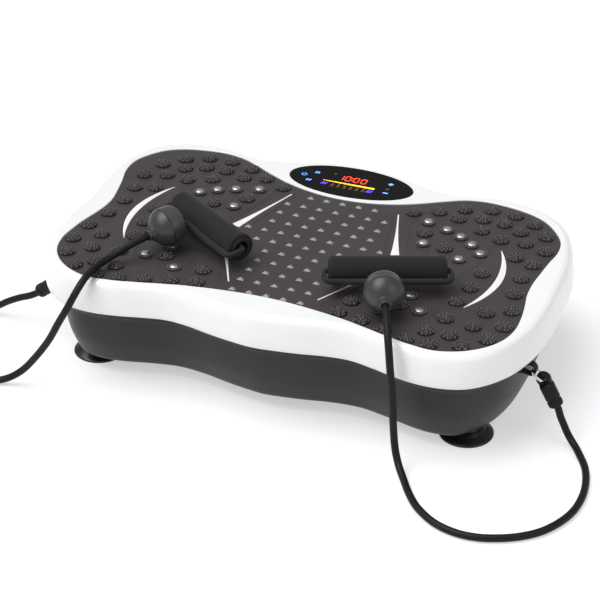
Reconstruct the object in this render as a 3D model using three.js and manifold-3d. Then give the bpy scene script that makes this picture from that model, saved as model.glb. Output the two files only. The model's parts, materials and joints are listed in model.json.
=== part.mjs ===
// Vibration plate: a rocking platform with a rubber foot mat on a black base with suction feet,
// driven by a belt, an eccentric shaft and a connecting rod, with two resistance bands.
// Millimetres, +X along the plate, +Y towards the display, +Z up, z = 0 is the floor.
import * as THREE from 'three';
import { mergeVertices } from 'three/addons/utils/BufferGeometryUtils.js';
import Module from 'manifold-3d';

const wasm = await Module();
wasm.setup();

// ---------------------------------------------------------------- driving dimensions
const GAP = 0.3;                   // clearance between pieces that touch
const OUTLINE_STEPS = 64;          // points round a plan outline
const BACK_SHEAR = 0.092;          // the back edge sits this much to the left per mm of +Y

const BASE_BOTTOM = 16.5;          // underside of the base
const SEAM_Z = 91;                 // lower edge of the white shell
const DECK_Z = 126;                // top of the white shell
const MAT_TOP = 125;
const MAT_UNDER = 121;
const DECK_UNDER = 117.5;          // underside of the shell's deck
const NODULE_TOP = 129.8;

const PIVOT_Z = 88;                // axis of the rocking platform, along Y at x = 0
const PIVOT_R = 8;
const SHAFT_X = 105;               // eccentric shaft, along Y
const MOTOR_X = -110;
const DRIVE_Z = 60;                // height of the motor and of the eccentric shaft
const SHAFT_R = 8;
const ECCENTRIC_R = 14;
const ECCENTRICITY = 1.75;         // gives about 1 degree of rock at SHAFT_X
const DRIVEN_PULLEY_R = 30;
const MOTOR_PULLEY_R = 14;
const BELT_Y = 92;                 // middle of the belt and pulleys
const BELT_WIDTH = 10;
const BELT_THICK = 3;
const ROD_PIN_Z = 104;

const DISPLAY = { x: -11.5, y: 129.4, a: 71.7, b: 33.8 };
const FOOT_R = 28;
const FEET = { front: { x: 206, y: -108 }, back: { x: 200, y: 100 } };

const BAND_R = 3.75;               // elastic resistance band
const STRAP_R = 3;                 // strap cord through a grip
const BALL_R = 21.5;
const GRIP_R = 15;
const CORE_R = 9.5;
const CORE_BORE_R = 7.4;
const GRIP_LENGTH = 117;
const SLEEVE_R = 7.7;
const ANCHOR_Y = -88;              // where the webbing loops leave the base

// Half outlines, from front centre to back centre, mirrored in x.
const SHELL_HALF = [
  [0, -176], [40, -171], [97, -161.5], [150, -173], [187, -177], [222, -167], [249, -137.5],
  [264, -100], [270, -50], [268.5, 0], [269, 45], [264, 88], [247, 130], [212, 156], [176, 163],
  [148, 160], [120, 153], [98, 155], [72, 162], [40, 173], [0, 177],
];
const MAT_HALF = [
  [0, -133.5], [80, -142], [150, -159.5], [186, -164], [222, -148], [244, -116], [246, -75],
  [237, -15], [244, 40], [249.5, 78], [236, 110], [213, 131.5], [163, 143.5], [135, 140],
  [104, 124], [76, 107.5], [36, 93.5], [0, 89.5],
];

// Massage nodules and magnet studs on the right half of the mat; the left half mirrors them.
const NODULES = [
  [227, 29], [231, 60], [223, 91], [204, 112], [180, 124], [153, 126], [125, 117], [101, 102],
  [76, 90], [224, -2], [227, -35],
  [206, 37], [207, 69], [195, 91], [174, 102], [150, 103], [125, 95], [181, 67], [156, 79],
  [102, 51], [132, 28], [184, -7], [182, -39], [178, -70], [212, -80], [234, -67], [236, -99],
  [228, -127], [208, -148], [208, -109], [192, -133], [168, -134], [155, -156], [129, -149],
  [103, -140], [77, -134], [81, -109], [129, -97], [178, -105], [179, -157],
];
const STUDS = [
  [170, 30], [156, 45], [140, 57], [122, 66], [98, 75], [108, 29], [153, 11], [130, 2],
  [132, -77], [150, -102], [111, -115],
];

// ---------------------------------------------------------------- materials
const paint = (color, roughness, metalness = 0) =>
  new THREE.MeshStandardMaterial({ color, roughness, metalness });
const LOOK = {
  whiteAbs: () => paint(0xf2f3f4, 0.25),
  blackAbs: () => paint(0x3a3739, 0.5),
  rubber: () => paint(0x4b4444, 0.75),
  feet: () => paint(0x2e2b2b, 0.6),
  stripe: () => paint(0xf0f0f0, 0.45),
  lens: () => paint(0x050506, 0.08),
  board: () => paint(0x1d5a34, 0.6),
  steel: () => paint(0x9a9ca0, 0.4, 1),
  painted: () => paint(0x2a2a2c, 0.55, 0.3),
  bronze: () => paint(0xb08d4f, 0.45, 1),
  motor: () => paint(0x55585c, 0.45, 0.8),
  belt: () => paint(0x1a1a1a, 0.8),
  foam: () => paint(0x252424, 0.95),
  ball: () => paint(0x4a4b4d, 0.45),
  cord: () => paint(0x161616, 0.85),
  webbing: () => paint(0x141414, 0.95),
  chrome: () => paint(0xd8d8da, 0.15, 1),
};

// ---------------------------------------------------------------- solids and booleans
function toSolid(geometry) {
  const g = geometry.clone();
  g.deleteAttribute('normal');
  g.deleteAttribute('uv');
  const merged = mergeVertices(g, 1e-4);
  const mesh = new wasm.Mesh({
    numProp: 3,
    vertProperties: new Float32Array(merged.attributes.position.array),
    triVerts: new Uint32Array(merged.index.array),
  });
  mesh.merge();
  return new wasm.Manifold(mesh);
}

function toGeometry(solid) {
  const mesh = solid.getMesh();
  const g = new THREE.BufferGeometry();
  g.setAttribute('position', new THREE.BufferAttribute(new Float32Array(mesh.vertProperties), 3));
  g.setIndex(new THREE.BufferAttribute(new Uint32Array(mesh.triVerts), 1));
  g.computeVertexNormals();
  return g;
}

const join = (...geometries) =>
  toGeometry(geometries.map(toSolid).reduce((sum, next) => sum.add(next)));
const cut = (body, ...tools) =>
  toGeometry(tools.map(toSolid).reduce((rest, tool) => rest.subtract(tool), toSolid(body)));
const common = (a, b) => toGeometry(toSolid(a).intersect(toSolid(b)));

function moved(geometry, x, y, z, turn = [0, 0, 0]) {
  const euler = new THREE.Euler(...turn);
  const matrix = new THREE.Matrix4().makeRotationFromEuler(euler).setPosition(x, y, z);
  return geometry.clone().applyMatrix4(matrix);
}

// A box given by its lowest and highest corners.
function block(low, high) {
  const size = high.map((v, i) => v - low[i]);
  const mid = high.map((v, i) => (v + low[i]) / 2);
  return moved(new THREE.BoxGeometry(...size), ...mid);
}

// A cylinder along Y between two y values, or along Z.
const rodY = (r, x, z, y0, y1, segments = 28) =>
  moved(new THREE.CylinderGeometry(r, r, y1 - y0, segments), x, (y0 + y1) / 2, z);
function rodZ(r, x, y, z0, z1, segments = 28, topR = r) {
  const upright = new THREE.CylinderGeometry(topR, r, z1 - z0, segments);
  return moved(upright, x, y, (z0 + z1) / 2, [Math.PI / 2, 0, 0]);
}

// ---------------------------------------------------------------- plan outlines and lofts
function closedOutline(half, count = OUTLINE_STEPS) {
  const right = half.map(([x, y]) => new THREE.Vector3(x, y, 0));
  const left = half.slice(1, -1).reverse().map(([x, y]) => new THREE.Vector3(-x, y, 0));
  const curve = new THREE.CatmullRomCurve3([...right, ...left], true, 'centripetal');
  return curve.getSpacedPoints(count).slice(0, count)
    .map((p) => [p.x - BACK_SHEAR * Math.max(p.y, 0), p.y]);
}

// Moves every point of an outline inwards along its own normal.
function inset(outline, distance) {
  const n = outline.length;
  return outline.map(([x, y], i) => {
    const before = outline[(i + n - 1) % n];
    const after = outline[(i + 1) % n];
    const dx = after[0] - before[0];
    const dy = after[1] - before[1];
    const length = Math.hypot(dx, dy);
    return [x - (dy / length) * distance, y + (dx / length) * distance];
  });
}

// A closed solid through rings of equal count, lowest first: [[inset, z], ...].
function loft(outline, levels) {
  const n = outline.length;
  const rings = levels.map(([d, z]) => inset(outline, d).map(([x, y]) => [x, y, z]));
  const index = [];
  for (let i = 0; i + 1 < rings.length; i++) {
    for (let j = 0; j < n; j++) {
      const a = i * n + j;
      const b = i * n + ((j + 1) % n);
      index.push(a, b, b + n, a, b + n, a + n);
    }
  }
  const lid = (ring, offset, up) => {
    const flat = ring.map(([x, y]) => new THREE.Vector2(x, y));
    for (const [a, b, c] of THREE.ShapeUtils.triangulateShape(flat, [])) {
      index.push(...(up ? [a, b, c] : [a, c, b]).map((k) => k + offset));
    }
  };
  lid(rings[0], 0, false);
  lid(rings.at(-1), (rings.length - 1) * n, true);
  const g = new THREE.BufferGeometry();
  g.setAttribute('position', new THREE.Float32BufferAttribute(rings.flat(2), 3));
  g.setIndex(index);
  return g;
}

function extrudeUp(shape, z0, z1, curveSegments = 12) {
  const g = new THREE.ExtrudeGeometry(shape, { depth: z1 - z0, bevelEnabled: false, curveSegments });
  return moved(g, 0, 0, z0);
}

// Extrudes a shape drawn in X and Z along Y, from y0 to y1.
function extrudeBack(shape, y0, y1, curveSegments = 16) {
  const g = new THREE.ExtrudeGeometry(shape, { depth: y1 - y0, bevelEnabled: false, curveSegments });
  return moved(g, 0, y1, 0, [Math.PI / 2, 0, 0]);
}

function polygon(points) {
  return new THREE.Shape(points.map(([x, y]) => new THREE.Vector2(x, y)));
}

// A round tube along a smooth curve through points.
function tube(points, radius, steps, sides = 8) {
  const knots = points.map((p) => new THREE.Vector3(...p));
  const curve = new THREE.CatmullRomCurve3(knots, false, 'centripetal');
  const ring = [];
  for (let i = 0; i < sides; i++) {
    const a = (i / sides) * 2 * Math.PI;
    ring.push([radius * Math.cos(a), radius * Math.sin(a)]);
  }
  return new THREE.ExtrudeGeometry(polygon(ring), { extrudePath: curve, steps, bevelEnabled: false });
}

const sides = [['left', -1], ['right', 1]];

// ---------------------------------------------------------------- the assembly
const plate = new THREE.Group();
const shellOutline = closedOutline(SHELL_HALF);
const matOutline = closedOutline(MAT_HALF);

// The part's origin is under the middle of the shell, which the back shear moves a little.
const middleOf = (values) => (Math.max(...values) + Math.min(...values)) / 2;
const CENTRE_X = middleOf(shellOutline.map(([x]) => x));
const CENTRE_Y = middleOf(shellOutline.map(([, y]) => y));

function add(name, geometry, material) {
  const mesh = new THREE.Mesh(geometry, material);
  mesh.name = name;
  mesh.position.set(-CENTRE_X, -CENTRE_Y, 0);
  plate.add(mesh);
}

// ---------------------------------------------------------------- platform: shell, mat, display
function ellipseShape(grow) {
  const shape = new THREE.Shape();
  shape.absellipse(DISPLAY.x, DISPLAY.y, DISPLAY.a + grow, DISPLAY.b + grow, 0, 2 * Math.PI);
  return shape;
}

function topShell() {
  const outer = loft(shellOutline, [
    [0.8, SEAM_Z], [0, SEAM_Z + 1.5], [1.6, 112], [3.4, 119.5], [6.4, 124], [11.2, DECK_Z],
  ]);
  const hollow = loft(shellOutline, [[3, SEAM_Z - 1], [3.2, 108], [9, DECK_UNDER]]);
  const matRecess = loft(inset(matOutline, -GAP), [[0, MAT_UNDER - GAP], [0, DECK_Z + 1]]);
  const lensRecess = extrudeUp(ellipseShape(GAP), DECK_Z - 3.4, DECK_Z + 1);
  const window = block([DISPLAY.x - 48, DISPLAY.y - 14, 115], [DISPLAY.x + 48, DISPLAY.y + 14, 124]);
  const bosses = [];
  for (const [x, y] of [[-180, -84], [180, -84], [-180, 84], [180, 84]]) {
    bosses.push(rodZ(6, x, y, 112.5, DECK_UNDER + 1, 16));
  }
  return cut(join(cut(outer, hollow), ...bosses), matRecess, lensRecess, window);
}

// Straight stripes flank the middle of the mat, tip first.
const STRAIGHT_STRIPES = {
  back: { tip: [62, 80.5], wide: [90, -8], half: 5.2 },
  front: { tip: [48.5, -118], wide: [89, -38], half: 4.8 },
};

function straightStripe({ tip, wide, half }, side, grow) {
  const dx = wide[0] - tip[0];
  const dy = wide[1] - tip[1];
  const length = Math.hypot(dx, dy);
  const [tx, ty] = [dx / length, dy / length];
  const at = (t, w) => [
    side * (tip[0] + dx * t + tx * (t ? grow : -grow) - ty * w),
    tip[1] + dy * t + ty * (t ? grow : -grow) + tx * w,
  ];
  const ring = [
    at(0, 0.8 + grow), at(0.7, 0.5 * half + grow), at(1, half + grow),
    at(1, -half - grow), at(0.7, -0.5 * half - grow), at(0, -0.8 - grow),
  ];
  return polygon(ring);
}

// The curved stripe: two arcs through the same tips.
const CRESCENT = { x: 188, backY: 47.5, frontY: -76.5, outer: 19.5, inner: 13 };

function crescentStripe(side, grow) {
  const { x, backY, frontY, outer, inner } = CRESCENT;
  const half = (backY - frontY) / 2 + grow;
  const mid = (backY + frontY) / 2;
  const ring = [];
  const steps = 12;
  for (let i = 0; i <= steps; i++) {
    const t = -1 + (2 * i) / steps;
    ring.push([side * (x + (outer + grow) * (1 - t * t) + grow), mid + half * t]);
  }
  for (let i = steps; i >= 0; i--) {
    const t = -1 + (2 * i) / steps;
    ring.push([side * (x + (inner - grow) * (1 - t * t) - 0.8 - grow), mid + half * t]);
  }
  return polygon(ring);
}

const STRIPE_UNDER = 123.6;
const STRIPE_TOP = 125.3;
const stripeShapes = (grow) => sides.flatMap(([name, side]) => [
  [`stripe_back_${name}`, straightStripe(STRAIGHT_STRIPES.back, side, grow)],
  [`stripe_front_${name}`, straightStripe(STRAIGHT_STRIPES.front, side, grow)],
  [`stripe_curved_${name}`, crescentStripe(side, grow)],
]);

function footMat() {
  const slab = loft(matOutline, [[0, MAT_UNDER], [0, MAT_TOP - 0.8], [0.8, MAT_TOP]]);
  const bumps = [];
  for (const [, side] of sides) {
    for (const [x, y] of NODULES) {
      bumps.push(rodZ(7.8, side * x, y, MAT_TOP - 0.5, NODULE_TOP, 6, 6.6));
    }
    for (const [x, y] of STUDS) {
      bumps.push(rodZ(6.8, side * x, y, MAT_TOP - 0.5, NODULE_TOP - 1.2, 6, 5.6));
    }
  }
  const field = loft(matOutline, [[0.05, MAT_UNDER + 0.5], [0.05, NODULE_TOP + 1]]);
  const relief = common(join(...bumps), field);
  const grooves = stripeShapes(GAP).map(([, shape]) => extrudeUp(shape, STRIPE_UNDER - GAP, MAT_TOP + 1));
  return cut(join(slab, relief), ...grooves);
}

add('top_shell', topShell(), LOOK.whiteAbs());
add('foot_mat', footMat(), LOOK.rubber());
for (const [name, shape] of stripeShapes(0)) {
  add(name, extrudeUp(shape, STRIPE_UNDER, STRIPE_TOP), LOOK.stripe());
}
add('display_lens', extrudeUp(ellipseShape(0), DECK_Z - 3.1, DECK_Z + 0.5), LOOK.lens());

// The display board hangs under the window, with its digit block pointing up.
function displayBoard() {
  const z = 110;
  const card = block([DISPLAY.x - 55, DISPLAY.y - 20, z], [DISPLAY.x + 55, DISPLAY.y + 20, z + 1.6]);
  const digits = block([DISPLAY.x - 25, DISPLAY.y - 9, z + 1], [DISPLAY.x + 25, DISPLAY.y + 9, z + 9]);
  const posts = [-51, 51].map((dx) =>
    rodZ(3, DISPLAY.x + dx, DISPLAY.y, z + 1, DECK_UNDER - GAP, 10));
  return join(card, digits, ...posts);
}
add('display_board', displayBoard(), LOOK.board());

// ---------------------------------------------------------------- platform frame and its pivot
const LUG_Y = 52;
const LUG_HALF = 6;
const BUSH_R = 11.7;

function platformFrame() {
  const top = DECK_UNDER - GAP;
  const under = 113;
  const parts = [block([-210, -72, under], [210, 72, top])];
  for (const y of [-LUG_Y, LUG_Y]) {
    parts.push(block([-18, y - LUG_HALF, PIVOT_Z - 4], [18, y + LUG_HALF, under + 1]));
    parts.push(rodY(18, 0, PIVOT_Z, y - LUG_HALF, y + LUG_HALF, 24));
  }
  for (const y of [-15, 15]) {
    parts.push(block([SHAFT_X - 9, y - 4, ROD_PIN_Z - 8], [SHAFT_X + 9, y + 4, under + 1]));
  }
  const holes = [-LUG_Y, LUG_Y].map((y) => rodY(BUSH_R + GAP, 0, PIVOT_Z, y - 10, y + 10, 24));
  holes.push(rodY(4 + GAP, SHAFT_X, ROD_PIN_Z, -25, 25, 16));
  return cut(join(...parts), ...holes);
}
add('platform_frame', platformFrame(), LOOK.painted());

function ringY(outer, inner, x, z, y0, y1, segments = 24) {
  return cut(rodY(outer, x, z, y0, y1, segments), rodY(inner, x, z, y0 - 1, y1 + 1, segments));
}
for (const [name, y] of [['front', -LUG_Y], ['rear', LUG_Y]]) {
  const bush = ringY(BUSH_R, PIVOT_R + GAP, 0, PIVOT_Z, y - 7, y + 7);
  add(`pivot_bush_${name}`, bush, LOOK.bronze());
}
add('rod_pin', rodY(4, SHAFT_X, ROD_PIN_Z, -21, 21, 16), LOOK.steel());

// ---------------------------------------------------------------- base shell, frame and pivot
const PANEL = { half: 46, low: 34, high: 68, y: 146 };
const INLET = { x: 20, z: 51, halfX: 14, halfZ: 10 };
const SWITCH = { x: -22, z: 51, halfX: 10, halfZ: 7 };

function baseShell() {
  const outer = loft(shellOutline, [
    [32, BASE_BOTTOM], [28, 21], [24.5, 30], [20.5, 42], [18.5, 55], [17.2, 72], [17, 78],
    [6.4, 89], [6.2, 103],
  ]);
  const hollow = loft(shellOutline, [
    [35, BASE_BOTTOM + 3], [28.5, 28], [23, 45], [21.6, 60], [20.2, 72], [20, 78], [9.6, 91.5],
    [9.2, 104],
  ]);
  const { half, low, high, y } = PANEL;
  const pocketBlock = block([-half - 3, y - 10, low - 3], [half + 3, 175, high + 3]);
  const pocket = block([-half, y, low], [half, 180, high]);
  const holes = [INLET, SWITCH].map(({ x, z, halfX, halfZ }) =>
    block([x - halfX - GAP, y - 14, z - halfZ - GAP], [x + halfX + GAP, y + 5, z + halfZ + GAP]));
  const slots = sides.map(([, side]) =>
    block([side * 255 - 14, ANCHOR_Y - 10, 71.5], [side * 255 + 14, ANCHOR_Y + 10, 86.5]));
  const standoffs = [];
  for (const [x, py] of [[-140, -70], [140, -70], [-140, 70], [140, 70]]) {
    standoffs.push(rodZ(8, x, py, BASE_BOTTOM + 2, 25, 16));
  }
  const walls = join(cut(outer, hollow), common(pocketBlock, outer), ...standoffs);
  return cut(walls, pocket, ...holes, ...slots);
}
add('base_shell', baseShell(), LOOK.blackAbs());

const MOTOR = { r: 34, y0: -25, y1: 62 };
const BEARINGS = { front: -40, rear: 45 };
const FRAME_Z = 25 + GAP;

function baseFrame() {
  const top = FRAME_Z + 4;
  const parts = [block([-165, -82, FRAME_Z], [165, 82, top])];
  for (const y of [-72, 72]) {
    parts.push(block([-20, y - 4, top - 1], [20, y + 4, PIVOT_Z + 4]));
    parts.push(rodY(16, 0, PIVOT_Z, y - 4, y + 4, 24));
  }
  for (const y of [MOTOR.y0 + 12, MOTOR.y1 - 12]) {
    parts.push(block([MOTOR_X - 28, y - 5, top - 1], [MOTOR_X + 28, y + 5, DRIVE_Z - 14]));
  }
  for (const y of Object.values(BEARINGS)) {
    parts.push(block([SHAFT_X - 24, y - 9, top - 1], [SHAFT_X + 24, y + 9, DRIVE_Z - 18]));
  }
  const holes = [-72, 72].map((y) => rodY(PIVOT_R + GAP, 0, PIVOT_Z, y - 10, y + 10, 24));
  holes.push(rodY(MOTOR.r + GAP, MOTOR_X, DRIVE_Z, MOTOR.y0 - 5, MOTOR.y1 + 5, 36));
  return cut(join(...parts), ...holes);
}
add('base_frame', baseFrame(), LOOK.painted());
add('pivot_shaft', rodY(PIVOT_R, 0, PIVOT_Z, -79, 79, 24), LOOK.steel());

// ---------------------------------------------------------------- drive train
function motorBody() {
  const can = rodY(MOTOR.r, MOTOR_X, DRIVE_Z, MOTOR.y0, MOTOR.y1, 36);
  const nose = rodY(14, MOTOR_X, DRIVE_Z, MOTOR.y1 - 1, MOTOR.y1 + 8, 24);
  const bore = rodY(4 + GAP, MOTOR_X, DRIVE_Z, MOTOR.y1 - 20, MOTOR.y1 + 10, 16);
  return cut(join(can, nose), bore);
}
add('motor', motorBody(), LOOK.motor());
add('motor_shaft', rodY(4, MOTOR_X, DRIVE_Z, MOTOR.y1 - 19, BELT_Y + 9, 16), LOOK.steel());

// A flanged belt pulley: a rim for the belt between two slightly larger flanges.
function pulley(r, bore, x) {
  const rim = rodY(r, x, DRIVE_Z, BELT_Y - 8, BELT_Y + 8, 24);
  const flanges = [-7, 7].map((dy) => rodY(r + 2.5, x, DRIVE_Z, BELT_Y + dy - 1, BELT_Y + dy + 1, 24));
  return cut(join(rim, ...flanges), rodY(bore, x, DRIVE_Z, BELT_Y - 10, BELT_Y + 10, 24));
}
add('motor_pulley', pulley(MOTOR_PULLEY_R, 4 + GAP, MOTOR_X), LOOK.painted());
add('driven_pulley', pulley(DRIVEN_PULLEY_R, SHAFT_R + GAP, SHAFT_X), LOOK.painted());

// The open outline of a belt round both pulleys, a distance off their rims.
function beltOutline(offset) {
  const span = SHAFT_X - MOTOR_X;
  const lean = Math.asin((DRIVEN_PULLEY_R - MOTOR_PULLEY_R) / span);
  const shape = new THREE.Path();
  shape.absarc(SHAFT_X, DRIVE_Z, DRIVEN_PULLEY_R + offset, -Math.PI / 2 - lean, Math.PI / 2 + lean);
  shape.absarc(MOTOR_X, DRIVE_Z, MOTOR_PULLEY_R + offset, Math.PI / 2 + lean, (3 * Math.PI) / 2 - lean);
  return shape.getPoints(11).map((p) => [p.x, p.y]);
}
function driveBelt() {
  const shape = polygon(beltOutline(GAP + BELT_THICK));
  shape.holes.push(polygon(beltOutline(GAP)));
  return extrudeBack(shape, BELT_Y - BELT_WIDTH / 2, BELT_Y + BELT_WIDTH / 2);
}
add('drive_belt', driveBelt(), LOOK.belt());

function eccentricShaft() {
  const shaft = rodY(SHAFT_R, SHAFT_X, DRIVE_Z, -56, BELT_Y + 12, 24);
  const journal = rodY(ECCENTRIC_R, SHAFT_X + ECCENTRICITY, DRIVE_Z, -9, 9, 32);
  return join(shaft, journal);
}
add('eccentric_shaft', eccentricShaft(), LOOK.steel());

for (const [name, y] of Object.entries(BEARINGS)) {
  const foot = block([SHAFT_X - 24, y - 8, DRIVE_Z - 18 + GAP], [SHAFT_X + 24, y + 8, DRIVE_Z - 8]);
  const housing = join(foot, rodY(17, SHAFT_X, DRIVE_Z, y - 8, y + 8, 32));
  const bore = rodY(SHAFT_R + GAP, SHAFT_X, DRIVE_Z, y - 12, y + 12, 24);
  const flat = block([SHAFT_X - 30, y - 12, 20], [SHAFT_X + 30, y + 12, DRIVE_Z - 18 + GAP]);
  add(`shaft_bearing_${name}`, cut(housing, bore, flat), LOOK.steel());
}

function connectingRod() {
  const parts = [
    rodY(24, SHAFT_X, DRIVE_Z, -7, 7, 32),
    rodY(8.5, SHAFT_X, ROD_PIN_Z, -7, 7, 24),
    block([SHAFT_X - 7, -7, DRIVE_Z + 18], [SHAFT_X + 7, 7, ROD_PIN_Z]),
  ];
  const bigEnd = rodY(ECCENTRIC_R + 2 * ECCENTRICITY + 1, SHAFT_X, DRIVE_Z, -9, 9, 32);
  return cut(join(...parts), bigEnd, rodY(4 + GAP, SHAFT_X, ROD_PIN_Z, -9, 9, 16));
}
add('connecting_rod', connectingRod(), LOOK.steel());

// ---------------------------------------------------------------- electrics
function controlBoard() {
  const z = 34;
  const parts = [block([-45, -124, z], [45, -86, z + 1.6])];
  parts.push(block([-38, -118, z + 1], [-14, -98, z + 20]));
  parts.push(block([16, -116, z + 1], [36, -104, z + 14]));
  for (const x of [-4, 9]) {
    parts.push(rodZ(5, x, -96, z + 1, z + 18, 12));
  }
  for (const [x, y] of [[-40, -105], [40, -105]]) {
    parts.push(rodZ(3, x, y, BASE_BOTTOM + 3 + GAP, z + 1, 10));
  }
  return join(...parts);
}
add('control_board', controlBoard(), LOOK.board());

function powerInlet() {
  const { x, z, halfX, halfZ } = INLET;
  const y = PANEL.y;
  const body = block([x - halfX, y - 20, z - halfZ], [x + halfX, y + 1, z + halfZ]);
  const flange = block([x - halfX - 3, y + GAP, z - halfZ - 3], [x + halfX + 3, y + 2.5, z + halfZ + 3]);
  const socket = block([x - 11, y - 15, z - 7], [x + 11, y + 4, z + 7]);
  const blades = [-7, 0, 7].map((dx) =>
    block([x + dx - 1, y - 17, z - 2.5], [x + dx + 1, y - 3, z + 2.5]));
  return join(cut(join(body, flange), socket), ...blades);
}
add('power_inlet', powerInlet(), LOOK.blackAbs());

function switchFrame() {
  const { x, z, halfX, halfZ } = SWITCH;
  const y = PANEL.y;
  const body = block([x - halfX, y - 14, z - halfZ], [x + halfX, y + 1, z + halfZ]);
  const rim = 2.5;
  const flange = block(
    [x - halfX - rim, y + GAP, z - halfZ - rim],
    [x + halfX + rim, y + 2, z + halfZ + rim],
  );
  const well = block([x - 8, y - 11, z - 5], [x + 8, y + 4, z + 5]);
  return cut(join(body, flange), well);
}
add('switch_frame', switchFrame(), LOOK.blackAbs());

// The rocker turns about Z through its middle; its face is a shallow V, resting on one end.
const ROCKER_PIVOT_Y = PANEL.y - 4;
const ROCKER_TILT = 8 * Math.PI / 180;
function switchRocker() {
  const { x, z } = SWITCH;
  const shape = polygon([[-7, -2], [-4, -5], [4, -5], [7, -2], [7, 6.6], [0, 5], [-7, 6.6]]);
  return moved(extrudeUp(shape, z - 4.5, z + 4.5), x, ROCKER_PIVOT_Y, 0, [0, 0, ROCKER_TILT]);
}
add('power_switch_rocker', switchRocker(), LOOK.blackAbs());

// ---------------------------------------------------------------- suction feet
function foot(x, y) {
  const profile = [
    [0, 1.5], [19, 1.5], [22, 0], [FOOT_R, 0], [FOOT_R, 2.6], [20, 6.6], [15.5, 10.5],
    [13.5, BASE_BOTTOM - GAP], [0, BASE_BOTTOM - GAP],
  ];
  const points = profile.map(([r, z]) => new THREE.Vector2(r, z));
  return moved(new THREE.LatheGeometry(points, 20), x, y, 0, [Math.PI / 2, 0, 0]);
}
for (const [row, { x, y }] of Object.entries(FEET)) {
  for (const [name, side] of sides) {
    add(`foot_${row}_${name}`, foot(side * x, y), LOOK.feet());
  }
}

// ---------------------------------------------------------------- band anchors
// Each anchor is a chain in the X-Z plane at ANCHOR_Y: webbing loop, snap ring, sleeve, band.
// The loop is the same on both sides; clipTilt and sleeveTilt are the slopes below horizontal.
const LOOP = { round: 7, roundX: 262.6, z: 79, half: 14, neck: 3.4, thick: 1.8, width: 7 };
const CLIP = { reach: 6.8, wide: 6.1, wire: 1.5, gateHalf: 3.9 };
const SLEEVE = { length: 26.5, tabR: 7.4, tabHalf: 3, holeR: 2.6, holeUp: 4 };
const ANCHORS = {
  left: { side: -1, clipTilt: Math.PI / 2, sleeveTilt: 0.644 },
  right: { side: 1, clipTilt: 0.567, sleeveTilt: 1.07 },
};

// Centres of the ring and of the sleeve's hole, found down the chain from the loop.
for (const anchor of Object.values(ANCHORS)) {
  const { clipTilt, sleeveTilt } = anchor;
  const slack = LOOP.round - LOOP.thick - CLIP.wire - 2 * GAP;
  const along = (x, z, distance, tilt) =>
    [x + distance * Math.cos(tilt), z - distance * Math.sin(tilt)];
  const topBar = along(LOOP.roundX, LOOP.z, slack, clipTilt);
  anchor.ring = along(...topBar, CLIP.reach, clipTilt);
  const lowBar = along(...topBar, 2 * CLIP.reach, clipTilt);
  anchor.hole = along(...lowBar, SLEEVE.holeR - CLIP.wire - GAP, sleeveTilt);
}

// A flat band of webbing sewn into a drop-shaped loop, on a wider tab inside the base.
function webbingLoop({ side }) {
  const { round, roundX, z, half, neck, thick, width } = LOOP;
  const middle = roundX + round - half;
  const drop = (off) => {
    const path = new THREE.Path();
    path.absarc(half - round, 0, round - off, -Math.PI / 2, Math.PI / 2);
    path.lineTo(-half + off, neck - off);
    path.lineTo(-half + off, off - neck);
    return path.getPoints(10).map((p) => [p.x, p.y]);
  };
  const shape = polygon(drop(0));
  shape.holes.push(polygon(drop(thick)));
  const flat = extrudeBack(shape, -width / 2, width / 2);
  const tab = block([-half, -9, -neck], [-half + 9, 9, neck]);
  return moved(join(flat, tab), side * middle, ANCHOR_Y, z, [0, 0, side > 0 ? 0 : Math.PI]);
}

// A squarish oval snap ring in the plane of Y and its own slope, open in its rear flank
// where the gate closes it. Its outline is a fourth-power oval.
const clipTurn = ({ side, clipTilt }) => [0, side * clipTilt, 0];
const rootOf = (v) => Math.sign(v) * Math.sqrt(Math.abs(v));
function clipRing(anchor) {
  const { reach, wide, wire, gateHalf } = CLIP;
  const tubeRatio = 0.2;
  const ring = new THREE.TorusGeometry(1, tubeRatio, 6, 20);
  const position = ring.attributes.position;
  for (let i = 0; i < position.count; i++) {
    const px = position.getX(i);
    const py = position.getY(i);
    const around = Math.atan2(py, px);
    const across = ((Math.hypot(px, py) - 1) / tubeRatio) * wire;
    const height = (position.getZ(i) / tubeRatio) * wire;
    const along = rootOf(Math.cos(around)) * (reach + across);
    position.setXYZ(i, along, rootOf(Math.sin(around)) * (wide + across), height);
  }
  const opening = block([-gateHalf, 1, -3], [gateHalf, 9, 3]);
  const [x, z] = anchor.ring;
  return moved(cut(ring, opening), anchor.side * x, ANCHOR_Y, z, clipTurn(anchor));
}
function clipGate(anchor) {
  const bar = new THREE.CylinderGeometry(1.1, 1.1, 2 * (CLIP.gateHalf - GAP), 12);
  const placed = moved(bar, 0, CLIP.wide, 0, [0, 0, Math.PI / 2]);
  const [x, z] = anchor.ring;
  return moved(placed, anchor.side * x, ANCHOR_Y, z, clipTurn(anchor));
}

// The sleeve grips the end of the band. Its upper end is a flat tab with a hole for the ring.
function sleeve({ side, sleeveTilt, hole }) {
  const { length, tabR, tabHalf, holeR, holeUp } = SLEEVE;
  const profile = [
    [0, 0], [SLEEVE_R - 1.5, 0], [SLEEVE_R, 1.5], [SLEEVE_R, length - 2],
    [SLEEVE_R - 1.5, length], [0, length],
  ];
  const points = profile.map(([r, z]) => new THREE.Vector2(r, z - length - holeUp));
  const barrel = moved(new THREE.LatheGeometry(points, 20), 0, 0, 0, [Math.PI / 2, 0, 0]);
  const tab = join(
    rodY(tabR, 0, 1, -tabHalf, tabHalf, 24),
    block([-tabR, -tabHalf, -holeUp - 1], [tabR, tabHalf, 1]),
  );
  const whole = cut(join(barrel, tab), rodY(holeR, 0, 0, -tabHalf - 1, tabHalf + 1, 12));
  const lean = Math.PI / 2 - sleeveTilt;
  return moved(whole, side * hole[0], ANCHOR_Y, hole[1], [0, -side * lean, 0]);
}

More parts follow.
